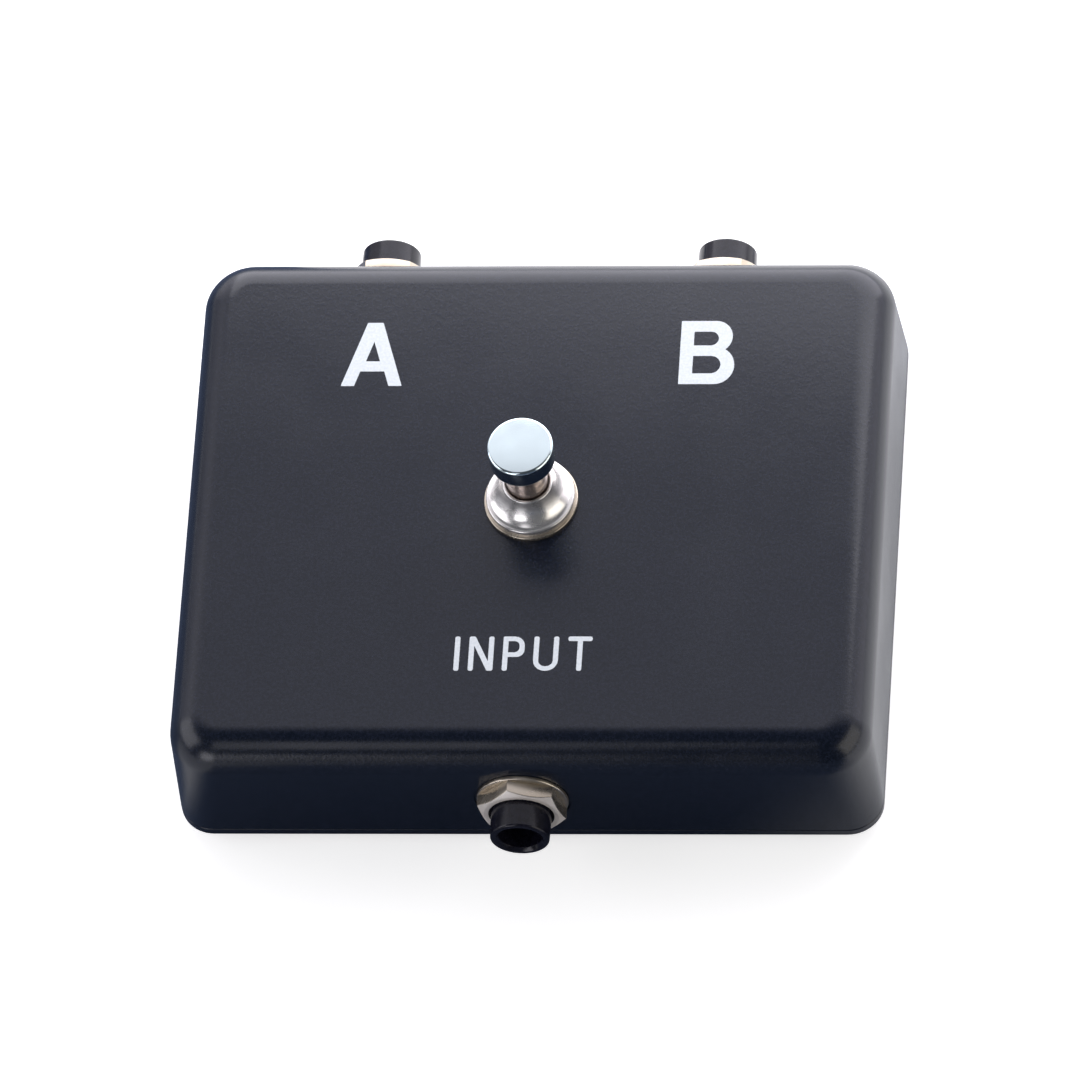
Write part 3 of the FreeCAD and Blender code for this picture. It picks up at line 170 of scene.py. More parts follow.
# %% A finish in the making
class Finish:
    """A material in the making: its tree, its shader and the piece's own coordinates."""

    def __init__(self, name, colour, roughness, metallic=0.0, specular=0.5):
        self.material = bpy.data.materials.new(name)
        self.material.use_nodes = True
        self.tree = self.material.node_tree
        self.shader = self.tree.nodes["Principled BSDF"]
        self.coordinates = add_node(self.tree, "ShaderNodeTexCoord", {})["Object"]
        self.normal = None
        self.set("Base Color", colour)
        self.set("Roughness", roughness)
        self.set("Metallic", metallic)
        self.set("Specular IOR Level", specular)

    def set(self, socket, value):
        feed(self.tree, self.shader.inputs[socket], value)

    def grain(self, size, detail=3.0):
        """Noise whose lumps are about this many millimetres across."""
        inputs = {"Vector": self.coordinates, "Scale": 1.0 / (size * MM), "Detail": detail}
        return add_node(self.tree, "ShaderNodeTexNoise", inputs)["Fac"]

    def shades(self, grain, dark, light, start=0.35, end=0.65):
        """The base colour goes from dark to light where the grain goes from start to end."""
        ramp = self.tree.nodes.new("ShaderNodeValToRGB")
        for stop, position, colour in zip(ramp.color_ramp.elements, (start, end), (dark, light)):
            stop.position = position
            stop.color = (*colour, 1.0)
        feed(self.tree, ramp.inputs["Fac"], grain)
        self.set("Base Color", ramp.outputs["Color"])
        return ramp.outputs["Color"]

    def rougher(self, grain, least, most, start=0.35, end=0.65):
        self.set("Roughness", eased(self.tree, grain, start, end, least, most, "LINEAR"))

    def bump(self, grain, height, strength):
        """Raises the surface by up to this many millimetres; a second call adds to the first."""
        inputs = {"Height": grain, "Distance": height * MM, "Strength": strength}
        if self.normal is not None:
            inputs["Normal"] = self.normal
        self.normal = add_node(self.tree, "ShaderNodeBump", inputs)["Normal"]
        self.set("Normal", self.normal)


print("finish steps ready")

# %% [markdown]
# A black glossy box shows its studio rather than its own colour, so the studio is built for what each
# surface mirrors. The flat top and the rounded back edge mirror a white wall behind the box, which grows
# brighter towards the floor and ends at the left. What is overhead stays dark, which gives the dark line
# along the front edge. The camera itself sees plain white all round.

# %% The white wall in a dark room
WALL_HIGH = (0.98, 0.96, 1.03)
WALL_LOW = (1.70, 1.64, 1.76)
ROOM_DARK = (0.05, 0.055, 0.065)
PLAIN_WHITE = (1.0, 1.0, 1.0)
WALL_STARTS = (0.10, 0.50)
WALL_FADES = (0.20, 0.80)
WALL_LEFT_END = (-1.00, -0.62)

world = bpy.data.worlds.new("studio")
bpy.context.scene.world = world
world.use_nodes = True
sky = world.node_tree
direction = axes_of(sky, add_node(sky, "ShaderNodeTexCoord", {})["Generated"])
wall = colour_mix(sky, eased(sky, direction["Z"], *WALL_FADES), WALL_LOW, WALL_HIGH)
room = colour_mix(sky, eased(sky, direction["Y"], *WALL_STARTS), ROOM_DARK, wall)
room = colour_mix(sky, eased(sky, direction["X"], *WALL_LEFT_END), ROOM_DARK, room)
camera_rays = add_node(sky, "ShaderNodeLightPath", {})["Is Camera Ray"]
feed(sky, sky.nodes["Background"].inputs["Color"], colour_mix(sky, camera_rays, room, PLAIN_WHITE))
print(f"sky of {len(sky.nodes)} nodes")

# %% [markdown]
# Two softboxes in front and one at each side give the bright line below the front edge and the streaks in
# the chrome. A low panel close behind the box brightens its back edge and the two back jacks. Each lamp
# faces the box, and its power is worked out from how bright it should look.

# %% Softboxes
CREAM = (1.0, 0.95, 0.87)
LAVENDER = (0.95, 0.94, 1.0)
SOFTBOXES = {
    "front_high_softbox": ((-0.106, -0.335, 0.425), 0.12, 0.20, 1.3, LAVENDER),
    "front_low_softbox": ((-0.468, -0.960, 0.270), 0.50, 0.40, 3.4, LAVENDER),
    "right_softbox": ((0.62, -0.20, 0.26), 0.62, 0.44, 1.6, CREAM),
    "left_softbox": ((-0.62, -0.06, 0.32), 0.56, 0.45, 2.2, LAVENDER),
    "back_panel": ((0.03, 0.165, 0.10), 0.34, 0.18, 2.5, LAVENDER),
}


def softbox(name, place, wide, tall, brightness, colour):
    """A rectangular lamp that faces the box; a brightness of 1 is white to a mirror."""
    data = bpy.data.lights.new(name, "AREA")
    data.shape = "RECTANGLE"
    data.size = wide
    data.size_y = tall
    data.energy = brightness * math.pi * wide * tall
    data.color = colour
    lamp = added(name, data)
    lamp.location = place
    lamp.rotation_euler = (-Vector(place)).to_track_quat("-Z", "Y").to_euler()
    lamp.visible_camera = False


for name, settings in SOFTBOXES.items():
    softbox(name, *settings)
print(f"{len(SOFTBOXES)} softboxes")

# %% [markdown]
# The floor is matt and nearly white. It glows a little to the camera and to mirrors, so that it comes out as
# white as the photograph's ground and still takes a faint shadow.

# %% The floor
FLOOR_HALF = 3.0
FLOOR_COLOUR = (0.93, 0.93, 0.92)
FLOOR_ROUGHNESS = 0.9
FLOOR_LIFT = 0.62


def laid_sheet(name, rectangles, height, material):
    """Flat rectangles, each given by its left, right, near and far edge, in one object."""
    spots = [
        (x, y, height) for left, right_edge, near, far in rectangles
        for x, y in ((left, near), (right_edge, near), (right_edge, far), (left, far))]
    mesh = bpy.data.meshes.new(name)
    mesh.from_pydata(spots, [], [range(start, start + 4) for start in range(0, len(spots), 4)])
    mesh.materials.append(material)
    return added(name, mesh)


def rays_that_show_the_set(tree):
    """1 for rays from the camera, from glossy surfaces and through clear ones."""
    rays = add_node(tree, "ShaderNodeLightPath", {})
    shows = reckoned(tree, "MAXIMUM", rays["Is Camera Ray"], rays["Is Glossy Ray"])
    return reckoned(tree, "MAXIMUM", shows, rays["Is Transmission Ray"])


ground = Finish("pale_floor", FLOOR_COLOUR, FLOOR_ROUGHNESS, specular=0.0)
ground.set("Emission Color", PLAIN_WHITE)
shows_the_set = rays_that_show_the_set(ground.tree)
ground.set("Emission Strength", reckoned(ground.tree, "MULTIPLY", shows_the_set, FLOOR_LIFT))
whole_floor = [(-FLOOR_HALF, FLOOR_HALF, -FLOOR_HALF, FLOOR_HALF)]
floor = laid_sheet("floor", whole_floor, 0.0, ground.material)
print(f"floor {2 * FLOOR_HALF:.0f} m wide")

# %% [markdown]
# A dark sheet laid on the floor in front and at the left, which only mirrors see, is painted shade: in the
# reflections it darkens the floor in front of the box as its shadow would, and keeps the front wall and the
# left edge dark. It thins out softly to the right and before the left corner, so that both ends of the front
# wall fade towards the floor's white, and its arm beside the right wall keeps that wall grey with painted
# shade too.

# %% A sheet of painted shade on the floor, seen only in mirrors
SHADE_SHEET_COLOUR = (0.12, 0.16, 0.25)
SHADE_SHEET_HEIGHT = 0.5 * MM
UNDER_BOX_X = 44 * MM
UNDER_BOX_Y = -20 * MM
SHADE_SHEETS = (
    (-0.9, 2.4, -2.8, UNDER_BOX_Y),
    (-0.9, -UNDER_BOX_X, UNDER_BOX_Y, 0.2),
    (UNDER_BOX_X, 0.12, UNDER_BOX_Y, 0.07),
)
SHADE_SHEET_BORDER = (24 * MM, 82 * MM)
SHADE_SHEET_THINS_LEFT = (-72 * MM, -54 * MM)
SHADE_SHEET_THINS_FRONT = (-54 * MM, -38 * MM)
THINNEST = 0.5

# The sheet's colour is painted shade, seen only by glossy rays.
shade_finish = Finish("black_felt", SHADE_SHEET_COLOUR, 1.0)
shade_tree = shade_finish.tree
spot = axes_of(shade_tree, shade_finish.coordinates)
# Where the sheet thins, its painted shade fades out.
shade_cover = reckoned(shade_tree, "MAXIMUM", eased(shade_tree, spot["X"], *SHADE_SHEET_THINS_LEFT),
                 eased(shade_tree, spot["Y"], *SHADE_SHEET_THINS_FRONT))
shade_cover = reckoned(shade_tree, "MAXIMUM", shade_cover, THINNEST)
ahead = reckoned(shade_tree, "SUBTRACT", spot["Y"], low["top_case"].y)
across = reckoned(shade_tree, "ADD", spot["X"], reckoned(shade_tree, "MINIMUM", ahead, 0.0))
inside_border = reckoned(shade_tree, "SUBTRACT", 1.0, eased(shade_tree, across, *SHADE_SHEET_BORDER))
shade_finish.set("Alpha", reckoned(shade_tree, "MULTIPLY", inside_border, shade_cover))
shade_sheet = laid_sheet("black_flag", SHADE_SHEETS, SHADE_SHEET_HEIGHT, shade_finish.material)
shade_sheet.visible_camera = False
shade_sheet.visible_diffuse = False
shade_sheet.visible_shadow = False
print(f"flag of {len(SHADE_SHEETS)} sheets")

# %% [markdown]
# The box is sprayed and baked in a fine black powder coat. Its colour is a very dark blue-grey, and what
# the eye reads as grey is the white wall mirrored in it. Up close such a coat is a field of tiny melted
# lumps: fine grain in the colour, a soft orange peel, and a slightly cloudy gloss. Wear would show on the
# edges, but this one looks new, so only the gloss varies.

# %% Black powder coat
PAINT_DARK = (0.003, 0.006, 0.014)
PAINT_LIGHT = (0.009, 0.013, 0.026)
PAINT_GLOSS = 0.44
LUMP_HEIGHT, LUMP_STRENGTH = 0.018, 0.6


def powder_coat(roughness=(0.21, 0.27)):
    finish = Finish("black_powder_coat", PAINT_DARK, roughness[1], specular=PAINT_GLOSS)
    fine = finish.grain(0.45, detail=4.0)
    peel = finish.grain(1.3, detail=2.0)
    clouds = finish.grain(16.0, detail=2.0)
    finish.shades(fine, PAINT_DARK, PAINT_LIGHT, start=0.38, end=0.68)
    finish.rougher(clouds, *roughness)
    finish.bump(peel, LUMP_HEIGHT, LUMP_STRENGTH)
    finish.bump(fine, LUMP_HEIGHT, LUMP_STRENGTH)
    return finish.material


BLACK_PAINT = powder_coat()
print("black powder coat")

# %% [markdown]
# The bright parts are chrome on the button and its collar, a slightly yellow nickel on the jack nuts and
# washers, grey zinc on screws, springs and sheet, and tinned brass on the contacts. A metal's look lies in
# its gloss, so each gets a low roughness that a faint grain varies. A nut's end face is cut flat on a lathe
# after rolling, so it is more satin than its six flats, and its paler colour is a painted highlight. The
# button is bright on its cap, and its stem below the cap is duller and browner: painted shade under the cap,
# which one step on the height adds.

# %% Chrome, nickel and zinc
HAZE_SIZE = 6.0
SCRATCH_STRENGTH = 0.4


def plated(name, dark, light, roughness, lumps=0.8, height=0.004, metallic=1.0):
    finish = Finish(name, light, roughness[0], metallic=metallic)
    haze = finish.grain(HAZE_SIZE)
    finish.shades(haze, dark, light)
    finish.rougher(haze, *roughness)
    finish.bump(finish.grain(lumps), height, SCRATCH_STRENGTH)
    return finish.material


CAP_HEIGHT = 3.8 * MM
CAP_FADE = 0.2 * MM
CAP_DARK, CAP_LIGHT = (0.76, 0.88, 0.91), (0.82, 0.95, 0.98)
# The stem's duller, browner colour is painted shade under the cap.
STEM_PAINTED_SHADE = (0.46, 0.38, 0.34)


def button_chrome(roughness=(0.11, 0.17)):
    finish = Finish("polished_chrome", STEM_PAINTED_SHADE, roughness[0], metallic=1.0)
    haze = finish.grain(HAZE_SIZE)
    bright = finish.shades(haze, CAP_DARK, CAP_LIGHT)
    cap_low = high["push_button"].z - CAP_HEIGHT
    height = axes_of(finish.tree, finish.coordinates)["Z"]
    on_cap = eased(finish.tree, height, cap_low - CAP_FADE, cap_low)
    # Below the cap the chrome turns to the stem's painted shade.
    finish.set("Base Color", colour_mix(finish.tree, on_cap, STEM_PAINTED_SHADE, bright))
    finish.rougher(haze, *roughness)
    finish.bump(finish.grain(2.5), 0.002, SCRATCH_STRENGTH)
    return finish.material


CHROME = button_chrome()
COLLAR_CHROME = plated(
    "collar_chrome", (0.80, 0.77, 0.75), (0.92, 0.90, 0.87), (0.20, 0.28), lumps=1.0, metallic=0.85)
WARM_NICKEL = plated("warm_nickel", (0.50, 0.43, 0.34), (0.68, 0.61, 0.51), (0.20, 0.32), metallic=0.9)
# The paler colour of the nut's turned faces is a painted highlight; their lower metallic and higher roughness
# are a satin turned finish.
NUT_FACE_PAINTED_HIGHLIGHT = plated("faced_nickel", (0.78, 0.71, 0.64), (0.92, 0.86, 0.79), (0.30, 0.42), metallic=0.3)
NICKEL = plated("bright_nickel", (0.62, 0.60, 0.56), (0.76, 0.74, 0.70), (0.15, 0.26))
ZINC = plated("grey_zinc", (0.42, 0.43, 0.45), (0.60, 0.61, 0.62), (0.28, 0.42), lumps=0.6, height=0.006)
TINNED_BRASS = plated("tinned_brass", (0.62, 0.50, 0.26), (0.80, 0.66, 0.38), (0.22, 0.36))
print("seven metals")

# %% [markdown]
# The jacks are moulded in glossy black plastic, the switch in a duller resin on a brown laminate board,
# the feet in rubber, and the hookup wires in soft insulation of four colours. The letters on the top are
# a thin coat of white ink. All of them use the same steps with other numbers.

# %% Plastics, board, rubber and ink
HAZE_TO_LUMPS = 8
MOULD_STRENGTH = 0.5


def moulded(name, dark, light, roughness, lumps, height, specular=0.5):
    finish = Finish(name, dark, roughness[0], specular=specular)
    fine = finish.grain(lumps)
    finish.shades(fine, dark, light)
    finish.rougher(finish.grain(lumps * HAZE_TO_LUMPS, detail=2.0), *roughness)
    finish.bump(fine, height, MOULD_STRENGTH)
    return finish.material


JACK_PLASTIC = moulded(
    "glossy_black_plastic", (0.005, 0.005, 0.010), (0.010, 0.010, 0.018), (0.16, 0.26), 0.9, 0.004,
    specular=0.3)
SWITCH_PLASTIC = moulded("dark_resin", (0.035, 0.035, 0.04), (0.06, 0.06, 0.066), (0.4, 0.55), 0.5, 0.01)
LAMINATE = moulded("brown_laminate", (0.24, 0.12, 0.045), (0.38, 0.21, 0.09), (0.4, 0.55), 0.35, 0.01)
RUBBER = moulded(
    "moulded_rubber", (0.012, 0.012, 0.012), (0.028, 0.028, 0.028), (0.6, 0.8), 0.4, 0.02, specular=0.3)
INK = moulded("white_ink", (0.74, 0.80, 0.84), (0.84, 0.89, 0.92), (0.45, 0.6), 0.4, 0.006)
WIRE_COLOURS = {
    "wire_white": ((0.70, 0.70, 0.66), (0.82, 0.82, 0.80)),
    "wire_red": ((0.45, 0.03, 0.025), (0.60, 0.06, 0.045)),
    "wire_blue": ((0.03, 0.09, 0.36), (0.06, 0.15, 0.50)),
    "wire_black": ((0.02, 0.02, 0.022), (0.04, 0.04, 0.042)),
}
INSULATION = {
    slot: moulded(slot, *shades, (0.35, 0.5), 0.8, 0.006) for slot, shades in WIRE_COLOURS.items()}
print(f"{5 + len(INSULATION)} more finishes")

# %% [markdown]
# Most pieces come off a lathe, so one function sweeps a profile round an axis. A profile is a short list
# of corners, each with its own small round, because a real edge is never sharp and its round is what
# catches the light. The profile may change with the angle, which also gives a hexagon. The result is
# merged at its poles, its normals are made to point outwards, and edges sharper than 35 degrees stay crisp
# under smooth shading.

# %% Rounded profiles and turned shapes
ROUND_STEPS = 5
MOST_OF_A_SIDE = 0.48
SAME_SPOT = 1e-7
NO_LENGTH = 1e-8


def rounded(corners, closed=True):
    """Profile points (radius, height) with each corner's own round put in as an arc."""
    points = []
    count = len(corners)
    for index, (radius, height, round_by) in enumerate(corners):
        here = Vector((radius, height))
        if round_by <= 0 or (not closed and index in (0, count - 1)):
            points.append(here)
            continue
        before = Vector(corners[index - 1][:2]) - here
        after = Vector(corners[(index + 1) % count][:2]) - here
        half_angle = before.angle(after) / 2
        back = min(
            round_by / math.tan(half_angle), before.length * MOST_OF_A_SIDE, after.length * MOST_OF_A_SIDE)
        reach = back * math.tan(half_angle)
        inwards = (before.normalized() + after.normalized()).normalized()
        centre = here + inwards * reach / math.sin(half_angle)
        start = here + before.normalized() * back - centre
        end = here + after.normalized() * back - centre
        sweep = start.angle_signed(end)
        for step in range(ROUND_STEPS + 1):
            arc = start.copy()
            arc.rotate(Matrix.Rotation(-sweep * step / ROUND_STEPS, 2))
            points.append(centre + arc)
    return points


def sweep_profile(profile_at, segments, closed=True):
    """A mesh swept round Z; profile_at(angle) gives the same number of points at every angle."""
    mesh = bmesh.new()
    rings = []
    for segment in range(segments):
        angle = 2 * math.pi * segment / segments
        spots = [(r * math.cos(angle), r * math.sin(angle), z) for r, z in profile_at(angle)]
        rings.append([mesh.verts.new(spot) for spot in spots])
    count = len(rings[0])
    for ring, following in zip(rings, rings[1:] + rings[:1]):
        for index in range(count if closed else count - 1):
            after = (index + 1) % count
            mesh.faces.new((ring[index], following[index], following[after], ring[after]))
    bmesh.ops.remove_doubles(mesh, verts=mesh.verts, dist=SAME_SPOT)
    bmesh.ops.dissolve_degenerate(mesh, edges=mesh.edges, dist=NO_LENGTH)
    bmesh.ops.recalc_face_normals(mesh, faces=mesh.faces)
    return mesh


def turned(corners, segments=128, closed=True):
    points = rounded(corners, closed)
    return sweep_profile(lambda angle: points, segments, closed)


print("lathe ready")

# %% [markdown]
# Every piece ends the same way. Its place goes into its mesh and its object stays at the origin, because the
# export puts it there before it bakes the finish. Then the piece rides on its body, and the CAD nodes it
# stands for are hidden. What a boolean or a tree makes is turned into a plain mesh first.

# %% Making a piece and settling it
SHARP = math.radians(35)
SHARP_CUT = math.radians(30)


def shaded(piece, sharp=SHARP):
    piece.data.shade_smooth()
    piece.data.set_sharp_from_angle(angle=sharp)
    return piece


def crisp(piece):
    """Smooth shading that stays crisp at cut edges and flat on flat walls."""
    shaded(piece, SHARP_CUT)
    flat = piece.modifiers.new("flat walls", "WEIGHTED_NORMAL")
    flat.keep_sharp = True
    flat.weight = 100
    return piece


def make_piece(name, mesh, material, placement=None):
    """An object at the origin from an edit mesh, placed in its vertices and shaded smooth."""
    if placement is not None:
        bmesh.ops.transform(mesh, matrix=placement, verts=mesh.verts)
    data = bpy.data.meshes.new(name)
    mesh.to_mesh(data)
    mesh.free()
    data.materials.append(material)
    return shaded(added(name, data))


def settle(piece, body, slot, *nodes):
    """Rides the piece on its body and hides the CAD nodes it stands for; the slot is not used."""
    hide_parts(*nodes)
    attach(piece, body)
    print(f"{piece.name}: {len(piece.data.polygons)} faces")


def evaluated(piece):
    """A plain mesh of what an object's modifiers or its curve make."""
    return bpy.data.meshes.new_from_object(piece.evaluated_get(bpy.context.evaluated_depsgraph_get()))


def finished(piece):
    """Applies what modifiers make of the piece, as a plain mesh."""
    result = evaluated(piece)
    result.name = piece.name
    piece.modifiers.clear()
    piece.data = result
    return piece


def combine(piece, tool, operation, tool_overlaps=False):
    """An exact union or difference with a tool, which is removed."""
    step = piece.modifiers.new(operation.lower(), "BOOLEAN")
    step.operation = operation
    step.solver = "EXACT"
    step.use_self = tool_overlaps
    step.object = tool
    finished(piece)
    print(f"{piece.name} {operation.lower()} {tool.name}: {len(piece.data.polygons)} faces")
    bpy.data.objects.remove(tool)


print("piece steps ready")

# %% [markdown]
# The case is a shallow casting: walls that lean in a little, round upright corners, and a soft edge all
# round the top. Its surface follows a rule, so it is built as rings: each ring is a rounded rectangle at
# one height, drawn in by the lean of the wall and then by the arc of the soft edge. The last ring is
# joined to the round hole of the switch by a fan of faces. The same rings, a wall's thickness smaller,
# make the inside.

# %% The case as two nests of rings
WALL = 2.2 * MM
ROOF = 2.0 * MM
EDGE_ROUND = 5.5 * MM
CORNER_AT_PLATE = 5.4 * MM
CORNER_AT_TOP = 8.0 * MM
LEAN = 0.5 * MM
BROKEN_EDGE = 0.15 * MM
SWITCH_BORE = 4.15 * MM
CORNER_STEPS = 14
EDGE_STEPS = 14

case_low, case_high = low["top_case"], high["top_case"]
switch_axis = (low["dress_collar"] + high["dress_collar"]) / 2


def rounded_ring(half_x, half_y, corner, height):
    """Points of a rounded rectangle, anticlockwise from the middle of its right side."""
    points = []
    for quarter in range(4):
        sign_x = 1 if quarter in (0, 3) else -1
        sign_y = 1 if quarter in (0, 1) else -1
        for step in range(CORNER_STEPS + 1):
            angle = math.pi / 2 * (quarter + step / CORNER_STEPS)
            points.append(Vector((
                sign_x * (half_x - corner) + corner * math.cos(angle),
                sign_y * (half_y - corner) + corner * math.sin(angle),
                height)))
    return points


def quarter_round(steps):
    """How far a quarter circle's points lie from the end and from the side, in shares of its radius."""
    angles = [math.pi / 2 * step / steps for step in range(steps + 1)]
    return [(1 - math.sin(angle), 1 - math.cos(angle)) for angle in angles]


def joined_rings(rings, looped=False):
    """A mesh of rings with equal counts; the last one meets the first, or both ends are filled."""
    mesh = bmesh.new()
    nest = [[mesh.verts.new(point) for point in ring] for ring in rings]
    for first, second in zip(nest, nest[1:] + (nest[:1] if looped else [])):
        for index in range(len(first)):
            after = (index + 1) % len(first)
            mesh.faces.new((first[index], first[after], second[after], second[index]))
    if not looped:
        mesh.faces.new(nest[-1])
        mesh.faces.new(nest[0][::-1])
    bmesh.ops.recalc_face_normals(mesh, faces=mesh.faces)
    return mesh


def shell_rings(inset, top, edge):
    """Rings from the open edge up to the flat of the roof, all drawn in by the inset."""
    rings = []
    span = case_high.z - case_low.z
    levels = [(case_low.z, BROKEN_EDGE), (case_low.z + BROKEN_EDGE, 0.0)]
    levels += [(top - edge * down, edge * in_by) for down, in_by in quarter_round(EDGE_STEPS)]
    for height, drawn_in in levels:
        share = (height - case_low.z) / span
        corner = CORNER_AT_PLATE + (CORNER_AT_TOP - CORNER_AT_PLATE) * share - inset - drawn_in
        shrink = inset + LEAN * share + drawn_in
        rings.append(rounded_ring(case_high.x - shrink, case_high.y - shrink, corner, height))
    return rings


def hole_ring(like, height):
    """Points round the switch's hole, one towards each point of the ring given."""
    centre = Vector((switch_axis.x, switch_axis.y, height))
    aways = [Vector((point.x - centre.x, point.y - centre.y, 0.0)).normalized() for point in like]
    return [centre + away * SWITCH_BORE for away in aways]


outer = shell_rings(0.0, case_high.z, EDGE_ROUND)
inner = shell_rings(WALL, case_high.z - ROOF, EDGE_ROUND - WALL)
bore = [hole_ring(outer[-1], case_high.z), hole_ring(inner[-1], case_high.z - ROOF)]
shell = make_piece("case_shell", joined_rings(outer + bore + inner[::-1], looped=True), BLACK_PAINT)
print(f"case shell: {len(shell.data.polygons)} faces before its holes")

# %% [markdown]
# The jack holes, the shallow flats turned round them and the screw bosses are cut and joined with exact
# booleans, as a machinist would cut the casting after it cooled. Cut edges stay crisp, and weighted
# normals keep the flat walls flat right up to the round edges.

# %% Bosses, jack holes and flats
JACKS = {
    "input": ("front", 0.0),
    "output_a": ("back", (low["output_a_nut"].x + high["output_a_nut"].x) / 2),
    "output_b": ("back", (low["output_b_nut"].x + high["output_b_nut"].x) / 2),
}
BOSS_RADIUS = 4.5 * MM
BOSS_BELOW_EDGE = 1.0 * MM
SCREW_INSET = 6.2 * MM
SCREW_SHANK = 1.55 * MM
SCREW_BORE = 10.0 * MM
NOSE_HOLE = 4.9 * MM
SPOT_RADIUS = 7.4 * MM
WALL_CUT = 5.0 * MM
FLAT_CUT = 3.0 * MM
jack_z = (low["input_nut"].z + high["input_nut"].z) / 2
seat = abs(high["input_washer"].y)
screw_x = (case_high.x - case_low.x) / 2 - SCREW_INSET
screw_y = (case_high.y - case_low.y) / 2 - SCREW_INSET
screw_spots = [(sx * screw_x, sy * screw_y) for sx in (-1, 1) for sy in (-1, 1)]


def facing(name):
    """Matrix from a jack's own frame, outwards up, to its place in the box."""
    side, x = JACKS[name]
    sign = -1.0 if side == "front" else 1.0
    axes = Matrix(((-sign, 0, 0), (0, 0, sign), (0, 1, 0)))
    return Matrix.Translation((x, 0.0, jack_z)) @ axes.to_4x4()


def cylinders(name, spots, radius, bottom, top, segments=64, top_radius=None):
    """Cylinders or cones along Z, or along a jack's axis where a spot is a jack's name."""
    mesh = bmesh.new()
    for spot in spots:
        placement = facing(spot) if isinstance(spot, str) else Matrix.Translation((*spot, 0.0))
        bmesh.ops.create_cone(
            mesh, cap_ends=True, segments=segments, radius1=radius, radius2=top_radius or radius,
            depth=top - bottom, matrix=placement @ Matrix.Translation((0.0, 0.0, (bottom + top) / 2)))
    return make_piece(name, mesh, BLACK_PAINT)


boss_top = case_high.z - EDGE_ROUND - BOSS_BELOW_EDGE
thread_top = case_low.z + SCREW_BORE
combine(shell, cylinders("bosses", screw_spots, BOSS_RADIUS, case_low.z, boss_top), "UNION")
combine(shell, cylinders("threads", screw_spots, SCREW_SHANK, case_low.z - MM, thread_top), "DIFFERENCE")
combine(shell, cylinders("nose_holes", JACKS, NOSE_HOLE, seat - WALL_CUT, seat + WALL_CUT, 96), "DIFFERENCE")
combine(shell, cylinders("washer_flats", JACKS, SPOT_RADIUS, seat, seat + FLAT_CUT, 96), "DIFFERENCE")
crisp(shell)
settle(shell, "case", "black_paint", "top_case")

# %% [markdown]
# The bottom is a flat sheet with the case's own corners. It is a short stack of rings, filled at both ends,
# with a straight way and a sunk cone cut for each of the four screws.

# %% The bottom plate
HEAD_RADIUS = 2.95 * MM
HEAD_HEIGHT = 1.3 * MM
CUT_PAST = 0.5 * MM
plate_low, plate_high = low["bottom_plate"], high["bottom_plate"]


def flat_sheet(half_x, half_y, corner, bottom, top, edge):
    levels = ((bottom, edge), (bottom + edge, 0.0), (top - edge, 0.0), (top, edge))
    return joined_rings(
        [rounded_ring(half_x - cut, half_y - cut, corner - cut, height) for height, cut in levels])


plate_mesh = flat_sheet(plate_high.x, plate_high.y, CORNER_AT_PLATE, plate_low.z, plate_high.z, BROKEN_EDGE)
plate = make_piece("bottom_sheet", plate_mesh, BLACK_PAINT)
sink_slope = (HEAD_RADIUS - SCREW_SHANK) / HEAD_HEIGHT
sinks = cylinders(
    "sinks", screw_spots, HEAD_RADIUS + CUT_PAST * sink_slope, plate_low.z - CUT_PAST,
    plate_low.z + HEAD_HEIGHT, top_radius=SCREW_SHANK)
combine(plate, cylinders("ways", screw_spots, SCREW_SHANK, plate_low.z - MM, plate_high.z + MM), "DIFFERENCE")
combine(plate, sinks, "DIFFERENCE")
crisp(plate)
settle(plate, "case", "black_paint", "bottom_plate")

# %% [markdown]
# The four feet and the four screws are the same piece repeated at the corners, so Geometry Nodes place
# them: one tree takes a template, a half spacing each way and a material, puts an instance on each corner
# of a grid and turns it by a seeded random angle. Every tree here starts with named inputs, and ends in
# Realize Instances and Set Material, because the export drops instances.

# %% A tree that repeats a template on four corners
def new_tree(name, inputs):
    """An empty tree with these named inputs and a material, and the outputs of its input node."""
    tree = bpy.data.node_groups.new(name, "GeometryNodeTree")
    for label, (kind, default) in {**inputs, "Material": ("Material", None)}.items():
        socket = tree.interface.new_socket(name=label, in_out="INPUT", socket_type=f"NodeSocket{kind}")
        if default is not None:
            socket.default_value = default
    tree.interface.new_socket(name="Geometry", in_out="OUTPUT", socket_type="NodeSocketGeometry")
    return tree, add_node(tree, "NodeGroupInput", {})


def end_tree(tree, source, geometry):
    """Makes the instances real, gives them the material and hands them to the output."""
    real = add_node(tree, "GeometryNodeRealizeInstances", {"Geometry": geometry})
    inputs = {"Geometry": real["Geometry"], "Material": source["Material"]}
    painted = add_node(tree, "GeometryNodeSetMaterial", inputs)
    add_node(tree, "NodeGroupOutput", {"Geometry": painted["Geometry"]})
    return tree


def corners_tree():
    tree, source = new_tree("four corners", {
        "Template": ("Object", None), "Half Spacing X": ("Float", 0.04), "Half Spacing Y": ("Float", 0.03),
        "Largest Turn": ("Float", 0.0), "Seed": ("Int", 3)})
    across, along = (reckoned(tree, "MULTIPLY", source[f"Half Spacing {axis}"], 2.0) for axis in "XY")
    grid = add_node(tree, "GeometryNodeMeshGrid", {
        "Vertices X": 2, "Vertices Y": 2, "Size X": across, "Size Y": along})
    template = add_node(tree, "GeometryNodeObjectInfo", {"Object": source["Template"]})
    spin = add_node(tree, "FunctionNodeRandomValue", {"Max": source["Largest Turn"], "Seed": source["Seed"]})
    angles = add_node(tree, "ShaderNodeCombineXYZ", {"Z": spin["Value"]})
    instances = add_node(tree, "GeometryNodeInstanceOnPoints", {
        "Points": grid["Mesh"], "Instance": template["Geometry"], "Rotation": angles["Vector"]})
    return end_tree(tree, source, instances["Instances"])


